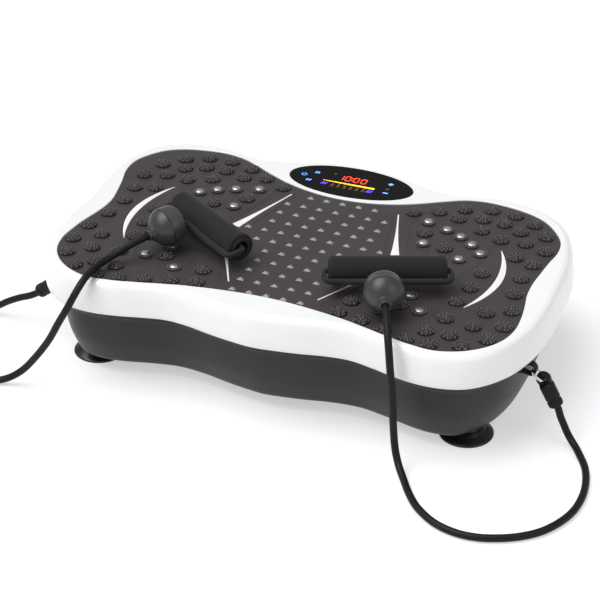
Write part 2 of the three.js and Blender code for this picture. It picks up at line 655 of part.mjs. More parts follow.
for (const [name, anchor] of Object.entries(ANCHORS)) {
  add(`webbing_loop_${name}`, webbingLoop(anchor), LOOK.webbing());
  add(`clip_ring_${name}`, clipRing(anchor), LOOK.chrome());
  add(`clip_gate_${name}`, clipGate(anchor), LOOK.chrome());
  add(`band_sleeve_${name}`, sleeve(anchor), LOOK.ball());
}

// ---------------------------------------------------------------- handles
// Each handle lies on the nodules: a ball with its nozzle along axis, and a grip beside it.
const HANDLES = {
  left: {
    ball: [-134, -78.5, 151.7], axis: [-0.5, -0.85, -0.15],
    gripFrom: [-149, -18], gripTo: [-49, -83],
  },
  right: {
    ball: [118.8, -119.6, 151.7], axis: [0.4, -0.91, -0.08],
    gripFrom: [50, -91], gripTo: [158, -46],
  },
};
const GRIP_Z = NODULE_TOP + GRIP_R + GAP;

function alongAxis(geometry, origin, axis) {
  const direction = new THREE.Vector3(...axis).normalize();
  const turn = new THREE.Quaternion().setFromUnitVectors(new THREE.Vector3(0, 0, 1), direction);
  const matrix = new THREE.Matrix4().makeRotationFromQuaternion(turn).setPosition(...origin);
  return geometry.clone().applyMatrix4(matrix);
}

function turned(profile, segments = 20) {
  const points = profile.map(([r, z]) => new THREE.Vector2(r, z));
  return moved(new THREE.LatheGeometry(points, segments), 0, 0, 0, [Math.PI / 2, 0, 0]);
}

// Profile points on the ball between two heights along its axis.
function ballArc(from, to, steps) {
  const list = [];
  for (let i = 0; i <= steps; i++) {
    const h = from + ((to - from) * i) / steps;
    list.push([Math.sqrt(BALL_R * BALL_R - h * h), h]);
  }
  return list;
}
const BALL_SEAM = 5;               // the cap begins this far ahead of the ball's centre
const CAP_END = -12;
const NOZZLE_END = 26;

// The bulb: a truncated ball, hollow, with a nozzle that the band comes out of.
const bulb = () => turned([
  [4.3, BALL_SEAM + 4], [17, BALL_SEAM + 4], [17, BALL_SEAM], ...ballArc(BALL_SEAM, 19.5, 5),
  [6, 21.5], [6, NOZZLE_END], [4.3, NOZZLE_END], [4.3, BALL_SEAM + 4],
]);
// The cap: a short drum that plugs the bulb, with room for the strap's two ends.
const cap = () => turned([
  [0, CAP_END], [14, CAP_END], [16.8, CAP_END + 0.6], [18.8, CAP_END + 3], [20.6, BALL_SEAM - 3],
  [20.8, BALL_SEAM - GAP],
  [16.6, BALL_SEAM - GAP], [16.6, BALL_SEAM + 3.6], [0, BALL_SEAM + 3.6],
]);

for (const [name, { ball, axis, gripFrom, gripTo }] of Object.entries(HANDLES)) {
  add(`handle_ball_${name}`, alongAxis(bulb(), ball, axis), LOOK.ball());
  add(`handle_cap_${name}`, alongAxis(cap(), ball, axis), LOOK.ball());
  const run = [gripTo[0] - gripFrom[0], gripTo[1] - gripFrom[1], 0];
  const middle = [(gripFrom[0] + gripTo[0]) / 2, (gripFrom[1] + gripTo[1]) / 2, GRIP_Z];
  const ring = (outer, inner, half) => alongAxis(
    turned([[inner, -half], [outer, -half], [outer, half], [inner, half], [inner, -half]], 24),
    middle, run);
  add(`grip_foam_${name}`, ring(GRIP_R, CORE_R + GAP, GRIP_LENGTH / 2), LOOK.foam());
  add(`grip_core_${name}`, ring(CORE_R, CORE_BORE_R, GRIP_LENGTH / 2 + 1), LOOK.blackAbs());
}

// Strap cords: out of the cap, round one end of the grip, through its core and back to the cap.
// Each point is [along the grip from its middle, out towards the ball, height].
const STRAPS = {
  left: [
    [-8.1, 29.2, 153.5], [-8, 27.6, 153.3], [-7, 25.5, 152.3], [-3, 23.2, 149.8], [3, 21.3, 147],
    [11, 19.6, 144.6], [22, 18.7, 143], [36, 18.4, 142.6], [50, 18.3, 142.6], [59.6, 18.1, 142.8],
    [62.2, 16.1, 143.3], [63.6, 12.6, 144], [64, 8.6, 144.6], [63.3, 4.2, 145],
    [61, 0.8, GRIP_Z], [57, 0, GRIP_Z], [0, 0, GRIP_Z], [-57, 0, GRIP_Z], [-61, 0.8, GRIP_Z],
    [-63.3, 4.2, 145], [-64, 8.6, 144.6], [-63.6, 12.6, 144], [-62.2, 16.1, 143.3],
    [-59.6, 18.1, 142.8], [-52, 18.4, 142.6], [-45, 18.6, 143], [-37.5, 19.4, 144.6],
    [-31, 20.9, 147.2], [-26, 23, 150], [-22.2, 25.5, 152.3], [-21.2, 27.6, 153.3],
    [-21.1, 29.2, 153.5],
  ],
  right: [
    [-12.7, 40, 152.7], [-12.8, 37.5, 152.5], [-14.4, 34, 151.4], [-18.4, 29.5, 149],
    [-24.4, 25.2, 146.4], [-32, 21.6, 144.2], [-40, 19.4, 143], [-50, 18.4, 142.6],
    [-59.6, 18.1, 142.8], [-62.2, 16.1, 143.3], [-63.6, 12.6, 144], [-64, 8.6, 144.6],
    [-63.3, 4.2, 145], [-61, 0.8, GRIP_Z], [-57, 0, GRIP_Z], [0, 0, GRIP_Z], [57, 0, GRIP_Z],
    [61, 0.8, GRIP_Z], [63.3, 4.2, 145], [64, 8.6, 144.6], [63.6, 12.6, 144],
    [62.2, 16.1, 143.3], [59.6, 18.1, 142.8], [50, 18.3, 142.6], [40, 18.6, 142.6],
    [30, 19.8, 143], [20, 22, 144.3], [12, 25.6, 146.6], [6, 30, 149.4], [2, 34, 151.4],
    [0.4, 37.5, 152.5], [0.3, 40, 152.7],
  ],
};
function besideGrip({ gripFrom, gripTo, ball }, [s, out, z]) {
  const [ax, ay] = [gripTo[0] - gripFrom[0], gripTo[1] - gripFrom[1]];
  const length = Math.hypot(ax, ay);
  const [ux, uy] = [ax / length, ay / length];
  const [mx, my] = [(gripFrom[0] + gripTo[0]) / 2, (gripFrom[1] + gripTo[1]) / 2];
  const facing = Math.sign(uy * (ball[0] - mx) - ux * (ball[1] - my));
  return [mx + ux * s + uy * facing * out, my + uy * s - ux * facing * out, z];
}
for (const [name, handle] of Object.entries(HANDLES)) {
  const route = STRAPS[name].map((point) => besideGrip(handle, point));
  add(`strap_cord_${name}`, tube(route, STRAP_R, 48), LOOK.cord());
}

// Elastic bands, from the mouth of the sleeve to the nozzle of the ball.
const FLOOR_Z = BAND_R + 0.5;
const BANDS = {
  left: [
    [-287.9, ANCHOR_Y, 43], [-292.5, ANCHOR_Y, 39.6], [-301, ANCHOR_Y, 34.8], [-314, ANCHOR_Y, 29.2],
    [-329, ANCHOR_Y, 21.2], [-342, ANCHOR_Y, 12.8], [-355, -89, 6.5], [-369, -92, FLOOR_Z],
    [-383, -98, FLOOR_Z], [-394, -108, FLOOR_Z], [-399, -123, FLOOR_Z], [-399, -142, FLOOR_Z],
    [-393, -163, FLOOR_Z], [-379, -184, FLOOR_Z], [-360, -201, FLOOR_Z], [-337, -213, FLOOR_Z],
    [-313, -217.5, FLOOR_Z], [-291, -215, FLOOR_Z], [-275, -210, 4.8], [-262, -206, 9],
    [-247.5, -203, 19.5], [-230, -203, 40], [-212.5, -203, 65], [-200, -203, 88], [-189, -201.5, 108],
    [-182.5, -195.5, 122.5], [-180, -184, 130.5], [-179, -168, 134], [-177, -150, 134.4],
    [-172, -136, 136.2], [-165.5, -126, 139.8], [-158.5, -117, 143.6], [-151.5, -107.8, 146.7],
    [-145.5, -98.1, 148.25],
  ],
  right: [
    [291.8, ANCHOR_Y, 42.2], [293.9, ANCHOR_Y, 38.2], [296.4, ANCHOR_Y, 30.5], [300.4, ANCHOR_Y, 21.8],
    [304.6, -89.2, 14.2], [310.2, -92.4, 8.4], [316.6, -98.2, 5.2], [323, -107.5, FLOOR_Z],
    [334, -127, FLOOR_Z], [341.5, -151, FLOOR_Z], [344.5, -176, FLOOR_Z], [342.5, -201, FLOOR_Z],
    [335, -223, FLOOR_Z], [323, -242.5, FLOOR_Z], [307, -257, FLOOR_Z], [289, -267, FLOOR_Z],
    [271, -273, FLOOR_Z], [251, -274, FLOOR_Z], [228, -267.5, FLOOR_Z], [205, -251, FLOOR_Z],
    [190, -233, FLOOR_Z], [177, -213, 4.6], [167, -199.5, 9.5], [160.5, -192, 21], [157, -189, 42],
    [155, -187.5, 66], [153, -187.5, 92], [151, -187, 110], [147.8, -182.5, 126],
    [143.6, -175, 137], [138.8, -165, 144.3], [134.2, -154.8, 148], [131, -147.4, 149.2],
    [128.03, -140.6, 149.86],
  ],
};
for (const [name] of sides) {
  add(`band_${name}`, tube(BANDS[name], BAND_R, 46), LOOK.cord());
}

export default plate;
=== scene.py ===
import json
import math
import random

import bmesh
import bpy
import numpy as np
from mathutils import Matrix, Vector


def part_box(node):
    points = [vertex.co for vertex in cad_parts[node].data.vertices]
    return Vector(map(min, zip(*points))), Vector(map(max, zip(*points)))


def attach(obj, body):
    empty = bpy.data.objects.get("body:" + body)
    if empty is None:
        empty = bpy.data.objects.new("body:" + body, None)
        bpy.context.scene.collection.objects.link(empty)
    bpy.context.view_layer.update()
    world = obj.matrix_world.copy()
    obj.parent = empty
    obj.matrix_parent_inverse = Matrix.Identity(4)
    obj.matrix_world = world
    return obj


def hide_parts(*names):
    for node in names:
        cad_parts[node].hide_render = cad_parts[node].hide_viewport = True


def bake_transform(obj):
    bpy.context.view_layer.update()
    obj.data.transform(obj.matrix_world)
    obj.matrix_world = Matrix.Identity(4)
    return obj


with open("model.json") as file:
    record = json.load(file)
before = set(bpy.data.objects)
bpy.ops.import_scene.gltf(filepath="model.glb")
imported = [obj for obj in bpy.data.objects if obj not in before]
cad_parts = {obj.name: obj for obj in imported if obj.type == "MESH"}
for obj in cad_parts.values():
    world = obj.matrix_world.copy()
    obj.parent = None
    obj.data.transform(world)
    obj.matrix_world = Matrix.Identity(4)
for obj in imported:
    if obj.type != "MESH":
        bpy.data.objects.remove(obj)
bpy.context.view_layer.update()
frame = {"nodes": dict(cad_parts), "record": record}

MM = 0.001
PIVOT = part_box("pivot_shaft")
SHIFT = Vector(((PIVOT[0].x + PIVOT[1].x) / 2, (PIVOT[0].y + PIVOT[1].y) / 2, 0))
random.seed(7)

SIDES = (("left", -1), ("right", 1))
OUTLINE_STEPS = 256
BACK_SHEAR = 0.092

BASE_BOTTOM = 16.5
SEAM_Z = 91
DECK_Z = 126
MAT_TOP = 125
MAT_UNDER = 121
NODULE_TOP = 129.8
DECK_UNDER = 117.5
GAP = 0.3
DISPLAY = (-11.5, 129.4)
DISPLAY_A = 71.7
DISPLAY_B = 33.8
LENS_TOP = DECK_Z + 0.5

BAND_R = 3.75
STRAP_R = 3
TUBE_SIDES = 20                             # round a band or a strap
BALL_R = 21.5
GRIP_R = 15
CORE_R = 9.5
CORE_BORE_R = 7.4
GRIP_LENGTH = 117
GRIP_Z = NODULE_TOP + GRIP_R + GAP          # the grips lie on the nodules
ANCHOR_Y = -88
FLOOR_Z = BAND_R + 0.5


def place(x, y, z):
    return Vector((x * MM, y * MM, z * MM)) + SHIFT


# ---------------------------------------------------------------- camera
def add_camera():
    data = bpy.data.cameras.new("camera")
    data.lens = 120
    data.sensor_width = 36
    data.clip_end = 20
    camera = bpy.data.objects.new("camera", data)
    camera.location = place(684.4, -1706.7, 1142.6)
    camera.rotation_euler = (math.radians(59.26), 0, math.radians(22.4))
    bpy.context.collection.objects.link(camera)
    bpy.context.scene.camera = camera


add_camera()
bpy.context.scene.view_settings.view_transform = "Standard"


# ---------------------------------------------------------------- curves and mesh parts
# A mesh part is (points, faces) in plan millimetres. Parts are merged, then made an object.
def smooth_line(points, count, closed=False):
    """Points spaced evenly along a centripetal Catmull-Rom curve through the given ones."""
    p = np.array(points, float)
    n = len(p)
    samples = []
    for i in range(n if closed else n - 1):
        p1, p2 = p[i], p[(i + 1) % n]
        p0 = p[i - 1] if closed or i > 0 else 2 * p1 - p2
        p3 = p[(i + 2) % n] if closed or i + 2 < n else 2 * p2 - p1
        d0, d1, d2 = (max(np.linalg.norm(b - a) ** 0.5, 1e-4) for a, b in ((p0, p1), (p1, p2), (p2, p3)))
        t1 = ((p1 - p0) / d0 - (p2 - p0) / (d0 + d1) + (p2 - p1) / d1) * d1
        t2 = ((p2 - p1) / d1 - (p3 - p1) / (d1 + d2) + (p3 - p2) / d2) * d1
        for t in np.arange(0, 1, 1 / 32):
            curve = p1 + t1 * t + (-3 * p1 + 3 * p2 - 2 * t1 - t2) * t * t
            samples.append(curve + (2 * p1 - 2 * p2 + t1 + t2) * t ** 3)
    samples.append(p[0] if closed else p[-1])
    samples = np.array(samples)
    lengths = np.r_[0, np.cumsum(np.linalg.norm(np.diff(samples, axis=0), axis=1))]
    wanted = np.linspace(0, lengths[-1], count + 1 if closed else count)
    line = np.stack([np.interp(wanted, lengths, samples[:, k]) for k in range(p.shape[1])], axis=1)
    return line[:-1] if closed else line


def plan_outline(half):
    """A whole outline from its right half, with the back sheared a little to the left."""
    mirrored = [(-x, y) for x, y in half[-2:0:-1]]
    line = smooth_line(list(half) + mirrored, OUTLINE_STEPS, closed=True)
    line[:, 0] -= BACK_SHEAR * np.maximum(line[:, 1], 0)
    return line


def inset(outline, distance):
    """Moves an outline inwards along its own normals. A fine outline is moved at 64 of its
    points, as a tight bend would fold at a large distance, and a curve fills the rest in."""
    stride = max(1, len(outline) // 64)
    p = outline[::stride]
    step = np.roll(p, -1, axis=0) - np.roll(p, 1, axis=0)
    step /= np.linalg.norm(step, axis=1)[:, None]
    p1 = p + distance * np.stack([-step[:, 1], step[:, 0]], axis=1)
    p0, p2, p3 = (np.roll(p1, k, axis=0) for k in (1, -1, -2))
    filled = []
    for t in np.arange(stride) / stride:
        filled.append(0.5 * (2 * p1 + (p2 - p0) * t + (2 * p0 - 5 * p1 + 4 * p2 - p3) * t ** 2
                             + (3 * p1 - p0 - 3 * p2 + p3) * t ** 3))
    return np.stack(filled, axis=1).reshape(-1, 2)


def merge(*parts):
    points, faces = [], []
    for part_points, part_faces in parts:
        start = len(points)
        points.extend(tuple(map(float, p)) for p in part_points)
        faces.extend(tuple(i + start for i in face) for face in part_faces)
    return points, faces


def skin(rings, closed=False):
    """A closed solid through rings of equal count; closed joins the last ring to the first."""
    n = len(rings[0])
    points = [tuple(map(float, p)) for ring in rings for p in ring]
    faces = []
    for i in range(len(rings) if closed else len(rings) - 1):
        for j in range(n):
            a, b = i * n, (i + 1) % len(rings) * n
            k = (j + 1) % n
            faces.append((a + j, a + k, b + k, b + j))
    if not closed:
        faces.append(tuple(reversed(range(n))))
        faces.append(tuple(range(len(points) - n, len(points))))
    return points, faces


def loft(outline, levels):
    """A solid through insets of one outline: levels are (inset, z), lowest first."""
    return skin([[(x, y, z) for x, y in inset(outline, d)] for d, z in levels])


def lathe(profile, segments=64, matrix=None):
    """A solid of revolution round Z. The (r, z) profile starts and ends on the axis,
    or closes on itself when its first and last points are equal."""
    ringed = profile[0] == profile[-1]
    rows = profile[:-1] if ringed else profile
    points, index = [], []
    for r, z in rows:
        if r == 0:
            index.append([len(points)] * segments)
            points.append(Vector((0, 0, z)))
            continue
        index.append([len(points) + j for j in range(segments)])
        for j in range(segments):
            a = 2 * math.pi * j / segments
            points.append(Vector((r * math.cos(a), r * math.sin(a), z)))
    faces = []
    for i in range(len(rows) if ringed else len(rows) - 1):
        low, high = index[i], index[(i + 1) % len(rows)]
        for j in range(segments):
            k = (j + 1) % segments
            corners = (low[j], low[k], high[k], high[j])
            face = tuple(dict.fromkeys(corners))
            if len(face) > 2:
                faces.append(face)
    if matrix is not None:
        points = [matrix @ p for p in points]
    return [tuple(p) for p in points], faces


def along(origin, axis):
    """The matrix that stands a shape made round Z at origin, with its Z along axis."""
    turn = Vector(axis).normalized().to_track_quat("Z", "Y").to_matrix().to_4x4()
    return Matrix.Translation(Vector(origin)) @ turn


def rounded(profile, radius=0.8, steps=4):
    """Rounds the inner corners of an open (r, z) profile."""
    pts = [Vector(p) for p in profile]
    result = [tuple(profile[0])]
    for before, corner, after in zip(pts, pts[1:], pts[2:]):
        a, b = (before - corner), (after - corner)
        cut = min(radius, a.length * 0.45, b.length * 0.45)
        start, end = corner + a.normalized() * cut, corner + b.normalized() * cut
        for i in range(steps + 1):
            t = i / steps
            p = start * (1 - t) ** 2 + corner * 2 * t * (1 - t) + end * t * t
            result.append((p.x, p.y))
    return result + [tuple(profile[-1])]


def rod(radius, start, end, segments=48):
    length = (Vector(end) - Vector(start)).length
    return lathe([(0, 0), (radius, 0), (radius, length), (0, length)], segments,
                 along(start, Vector(end) - Vector(start)))


def prism(ring, z0, z1):
    return skin([[(x, y, z) for x, y in ring] for z in (z0, z1)])


def box(low, high):
    (x0, y0, z0), (x1, y1, z1) = low, high
    return prism([(x0, y0), (x1, y0), (x1, y1), (x0, y1)], z0, z1)


def tube(line, radius, sides, closed=False):
    """A round tube along a line, with a frame that doesn't twist."""
    line = np.array(line, float)
    tangents = np.roll(line, -1, axis=0) - np.roll(line, 1, axis=0)
    if not closed:
        tangents[0], tangents[-1] = line[1] - line[0], line[-1] - line[-2]
    tangents /= np.linalg.norm(tangents, axis=1)[:, None]
    normal = np.cross(tangents[0], (0, 0, 1) if abs(tangents[0][2]) < 0.9 else (1, 0, 0))
    rings = []
    for p, t in zip(line, tangents):
        normal = normal - t * np.dot(normal, t)
        normal /= np.linalg.norm(normal)
        side = np.cross(t, normal)
        angles = 2 * math.pi * np.arange(sides) / sides
        rings.append([p + radius * (math.cos(a) * normal + math.sin(a) * side) for a in angles])
    return skin(rings, closed)


def tube_uv(obj, line, radius, sides):
    """UVs of a tube's wall in metres: U along it and V round it."""
    steps = np.linalg.norm(np.diff(np.array(line), axis=0), axis=1) * MM
    lengths = np.r_[0, np.cumsum(steps)]
    layer = obj.data.uv_layers.new(name="UVMap")
    round_length = 2 * math.pi * radius * MM
    for polygon in obj.data.polygons:
        corners = [obj.data.loops[i].vertex_index for i in polygon.loop_indices]
        if len(corners) > 4:
            continue
        wraps = {c % sides for c in corners} == {0, sides - 1}
        for loop, corner in zip(polygon.loop_indices, corners):
            j = sides if wraps and corner % sides == 0 else corner % sides
            layer.data[loop].uv = (lengths[corner // sides], round_length * j / sides)


def make(name, part, material, body, replaces=(), smooth=35):
    """A finished piece: a mesh object that rides on a CAD body."""
    points, faces = part
    mesh = bpy.data.meshes.new(name)
    mesh.from_pydata([place(*p) for p in points], [], faces)
    shape = bmesh.new()
    shape.from_mesh(mesh)
    bmesh.ops.recalc_face_normals(shape, faces=shape.faces)
    shape.to_mesh(mesh)
    shape.free()
    obj = bpy.data.objects.new(name, mesh)
    bpy.context.collection.objects.link(obj)
    finish_surface(obj, material, smooth)
    if body:
        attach(obj, body)
    if replaces:
        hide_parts(*replaces)
    return obj


def finish_surface(obj, material, smooth):
    mesh = obj.data
    mesh.materials.clear()
    mesh.materials.append(material)
    mesh.polygons.foreach_set("material_index", [0] * len(mesh.polygons))
    mesh.shade_smooth()
    mesh.set_sharp_from_angle(angle=math.radians(smooth))


def carve(obj, part, operation="DIFFERENCE"):
    """Applies one exact boolean with a part to an object that has no parent yet."""
    tool = make("tool", part, obj.data.materials[0], None)
    modifier = obj.modifiers.new("carve", "BOOLEAN")
    modifier.operation = operation
    modifier.solver = "EXACT"
    modifier.object = tool
    scene_state = bpy.context.evaluated_depsgraph_get()
    result = bpy.data.meshes.new_from_object(obj.evaluated_get(scene_state))
    obj.modifiers.clear()
    obj.data = result
    bpy.data.objects.remove(tool)


def weigh_normals(obj):
    modifier = obj.modifiers.new("weigh_normals", "WEIGHTED_NORMAL")
    modifier.keep_sharp = True


def settle(obj, material, body, replaced):
    """Finishes a carved piece and puts it on its CAD body."""
    finish_surface(obj, material, 35)
    weigh_normals(obj)
    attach(obj, body)
    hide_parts(replaced)


# ---------------------------------------------------------------- materials
def start_material(name, roughness, metallic=0.0, **sockets):
    material = bpy.data.materials.new(name)
    material.use_nodes = True
    tree = material.node_tree
    shader = tree.nodes["Principled BSDF"]
    shader.inputs["Roughness"].default_value = roughness
    shader.inputs["Metallic"].default_value = metallic
    for socket, value in sockets.items():
        shader.inputs[socket.replace("_", " ")].default_value = value
    return material, tree, shader


def node(tree, kind, **values):
    made = tree.nodes.new(kind)
    for key, value in values.items():
        if key in made.inputs:
            made.inputs[key].default_value = value
        else:
            setattr(made, key, value)
    return made


def noise(tree, coords, scale, detail=3.0, stretch=(1, 1, 1)):
    mapping = node(tree, "ShaderNodeMapping")
    mapping.inputs["Scale"].default_value = stretch
    tree.links.new(coords, mapping.inputs["Vector"])
    made = node(tree, "ShaderNodeTexNoise", Scale=scale, Detail=detail)
    tree.links.new(mapping.outputs["Vector"], made.inputs["Vector"])
    return made.outputs["Fac"]


def ramp(tree, value, low, high, start=0.3, end=0.7):
    """Maps a 0-1 value onto a colour or a number between low and high."""
    if isinstance(low, (int, float)):
        made = node(tree, "ShaderNodeMapRange")
        for socket, number in (("From Min", start), ("From Max", end), ("To Min", low), ("To Max", high)):
            made.inputs[socket].default_value = number
        tree.links.new(value, made.inputs["Value"])
        return made.outputs["Result"]
    made = node(tree, "ShaderNodeValToRGB")
    made.color_ramp.elements[0].position = start
    made.color_ramp.elements[1].position = end
    made.color_ramp.elements[0].color = (*low, 1)
    made.color_ramp.elements[1].color = (*high, 1)
    tree.links.new(value, made.inputs["Fac"])
    return made.outputs["Color"]


def bump(tree, shader, layers):
    """Stacks bumps on a shader: layers are (height socket, strength, distance in metres)."""
    last = None
    for height, strength, distance in layers:
        made = node(tree, "ShaderNodeBump", Strength=strength, Distance=distance)
        tree.links.new(height, made.inputs["Height"])
        if last:
            tree.links.new(last, made.inputs["Normal"])
        last = made.outputs["Normal"]
    tree.links.new(last, shader.inputs["Normal"])


def tint(color, factor):
    return tuple(min(1.0, c * factor) for c in color)


def moulded(name, color, roughness, grain=(1800, 0.15, 0.0001), mottle=0.06, spread=0.05,
            patch=35, wave=None, metallic=0.0, stretch=(1, 1, 1), **sockets):
    """Plastic, rubber, paint or metal: a little colour and gloss variation and a fine grain."""
    material, tree, shader = start_material(name, roughness, metallic, **sockets)
    coords = node(tree, "ShaderNodeTexCoord").outputs["Object"]
    patches = noise(tree, coords, patch, 4.0)
    color_out = ramp(tree, patches, tint(color, 1 - mottle), tint(color, 1 + mottle))
    tree.links.new(color_out, shader.inputs["Base Color"])
    fine = noise(tree, coords, patch * 9, 5.0, stretch)
    gloss = ramp(tree, fine, roughness - spread, roughness + spread)
    tree.links.new(gloss, shader.inputs["Roughness"])
    scale, strength, distance = grain
    layers = [(noise(tree, coords, scale, 2.0, stretch), strength, distance)]
    if wave:
        wave_scale, wave_strength, wave_distance = wave
        layers.append((noise(tree, coords, wave_scale, 1.0), wave_strength, wave_distance))
    bump(tree, shader, layers)
    return material


def stripes(tree, coords, period, angle):
    """Sine bands across a plane, with the given period in metres."""
    mapping = node(tree, "ShaderNodeMapping")
    mapping.inputs["Rotation"].default_value = (0, 0, angle)
    tree.links.new(coords, mapping.inputs["Vector"])
    made = node(tree, "ShaderNodeTexWave", Scale=math.pi / (10 * period))
    tree.links.new(mapping.outputs["Vector"], made.inputs["Vector"])
    return made.outputs["Fac"]


def math_node(tree, operation, a, b):
    made = node(tree, "ShaderNodeMath", operation=operation)
    for socket, value in zip(made.inputs, (a, b)):
        if isinstance(value, (int, float)):
            socket.default_value = value
        else:
            tree.links.new(value, socket)
    return made.outputs[0]


def woven(name, color, radius=None, strands=8, period=0.0011, roughness=0.8):
    """Braided cord when a radius is given, and flat webbing when it isn't."""
    material, tree, shader = start_material(name, roughness, 0.0, Sheen_Weight=0.1,
                                            Sheen_Roughness=0.45, Specular_IOR_Level=0.3)
    coords = node(tree, "ShaderNodeTexCoord")
    if radius:
        angle = math.radians(45)
        braid_period = 2 * math.pi * radius * MM * math.sin(angle) / strands
        first = stripes(tree, coords.outputs["UV"], braid_period, angle)
        second = stripes(tree, coords.outputs["UV"], braid_period, -angle)
        height = math_node(tree, "MAXIMUM", first, second)
    else:
        first = stripes(tree, coords.outputs["Object"], period, 0)
        second = stripes(tree, coords.outputs["Object"], period * 1.4, math.radians(90))
        height = math_node(tree, "MULTIPLY", first, second)
    fuzz = noise(tree, coords.outputs["Object"], 2500, 3.0)
    # The colour follows the weave's height: painted shade in the hollows between strands and a painted
    # highlight on their crowns.
    dark, light = tint(color, 0.45), tint(color, 1.5)
    tree.links.new(ramp(tree, height, dark, light, 0.1, 0.95), shader.inputs["Base Color"])
    tree.links.new(ramp(tree, fuzz, roughness - 0.1, roughness + 0.1), shader.inputs["Roughness"])
    bump(tree, shader, [(height, 0.6, 0.0003), (fuzz, 0.2, 0.0001)])
    return material


def foam_material():
    """Closed-cell foam: tiny cells and a soft, faintly brushed skin."""
    material, tree, shader = start_material("foam", 0.85, 0.0, Sheen_Weight=0.08,
                                            Sheen_Roughness=0.5, Specular_IOR_Level=0.3)
    coords = node(tree, "ShaderNodeTexCoord").outputs["Object"]
    cells = node(tree, "ShaderNodeTexVoronoi", Scale=1400)
    tree.links.new(coords, cells.inputs["Vector"])
    patches = noise(tree, coords, 60, 5.0)
    color = (0.0072, 0.0066, 0.0064)
    tree.links.new(ramp(tree, patches, tint(color, 0.8), tint(color, 1.25)), shader.inputs["Base Color"])
    tree.links.new(ramp(tree, patches, 0.78, 0.92), shader.inputs["Roughness"])
    bump(tree, shader, [(cells.outputs["Distance"], 0.35, 0.0002), (patches, 0.15, 0.0006)])
    return material


def glow(name, color, strength):
    """A lit figure behind the window, a little uneven from diode to diode."""
    material, tree, shader = start_material(name, 0.3)
    coords = node(tree, "ShaderNodeTexCoord").outputs["Object"]
    patches = noise(tree, coords, 260, 2.0)
    lit = ramp(tree, patches, tint(color, 0.75), color)
    tree.links.new(lit, shader.inputs["Emission Color"])
    tree.links.new(ramp(tree, patches, tint(color, 0.2), tint(color, 0.3)), shader.inputs["Base Color"])
    shader.inputs["Emission Strength"].default_value = strength
    return material


# Looks by the name of their material slot, and a few more for detail without a slot of its own.
LOOK = {
    "shell": moulded("shell", (0.76, 0.765, 0.77), 0.24, (900, 0.05, 0.00005), 0.012, 0.03,
                     wave=(14, 0.05, 0.002), Coat_Weight=0.2, Coat_Roughness=0.06),
    "base": moulded("base", (0.0205, 0.0178, 0.0182), 0.42, (1700, 0.22, 0.00012), 0.07, 0.05,
                    Specular_IOR_Level=0.3),
    "mat": moulded("mat", (0.040, 0.034, 0.0335), 0.55, (1300, 0.3, 0.00018), 0.09, 0.06, 22,
                   wave=(90, 0.12, 0.0005), Specular_IOR_Level=0.35),
    "pad": moulded("pad", (0.017, 0.0145, 0.014), 0.6, (1300, 0.3, 0.00018), 0.09, 0.06, 22,
                   Specular_IOR_Level=0.3),
    "bead": moulded("bead", (0.115, 0.103, 0.10), 0.34, (1300, 0.2, 0.0001), 0.12, 0.06, 22),
    # The lattice pyramids are moulded in the mat's own rubber; their lighter colour is a painted highlight
    # for the light their facets catch.
    "lattice": moulded("lattice", (0.19, 0.18, 0.174), 0.34, (1300, 0.3, 0.00018), 0.09, 0.06, 22),
    "stripe": moulded("stripe", (0.78, 0.77, 0.765), 0.4, (1100, 0.1, 0.0001), 0.03, 0.04),
    "lens": moulded("lens", (0.002, 0.002, 0.0025), 0.08, (200, 0.01, 0.00005), 0.2, 0.015,
                    Specular_IOR_Level=0.08),
    "board": moulded("board", (0.02, 0.12, 0.05), 0.45, (700, 0.3, 0.0002), 0.3, 0.08, 120),
    "frame_steel": moulded("frame_steel", (0.03, 0.03, 0.033), 0.5, (900, 0.3, 0.0002), 0.15,
                           0.08, 50, metallic=0.2),
    "steel": moulded("steel", (0.5, 0.5, 0.52), 0.32, (600, 0.3, 0.0001), 0.08, 0.08, 60,
                     metallic=1.0, stretch=(1, 12, 1)),
    "bronze": moulded("bronze", (0.45, 0.3, 0.12), 0.42, (900, 0.3, 0.0001), 0.15, 0.08, 90,
                      metallic=1.0),
    "motor": moulded("motor", (0.1, 0.105, 0.11), 0.4, (800, 0.25, 0.00015), 0.1, 0.06, 40,
                     metallic=0.6),
    "belt": moulded("belt", (0.012, 0.012, 0.012), 0.75, (900, 0.5, 0.0003), 0.3, 0.08, 80),
    "foam": foam_material(),
    "handle": moulded("handle", (0.034, 0.0345, 0.036), 0.36, (1500, 0.14, 0.0001), 0.08, 0.05, 45,
                      Specular_IOR_Level=0.45),
    "handle_cap": moulded("handle_cap", (0.043, 0.0435, 0.045), 0.34, (1500, 0.14, 0.0001), 0.08,
                          0.05, 45, Specular_IOR_Level=0.45),
    "cord": moulded("cord", (0.005, 0.0048, 0.0048), 0.5, (1600, 0.3, 0.00015), 0.25, 0.08, 120,
                    Specular_IOR_Level=0.22),
    "strap": woven("strap", (0.010, 0.0098, 0.0098), STRAP_R, 8),
    "webbing": woven("webbing", (0.009, 0.009, 0.0095)),
    "chrome": moulded("chrome", (0.62, 0.62, 0.64), 0.16, (500, 0.08, 0.00005), 0.05, 0.06, 200,
                      metallic=1.0),
    "stud": moulded("stud", (0.46, 0.455, 0.45), 0.4, (900, 0.15, 0.0001), 0.1, 0.08, 150,
                    metallic=1.0),
    "feet": moulded("feet", (0.010, 0.0095, 0.0095), 0.3, (1300, 0.2, 0.00012), 0.1, 0.06, 50,
                    Specular_IOR_Level=0.4),
}

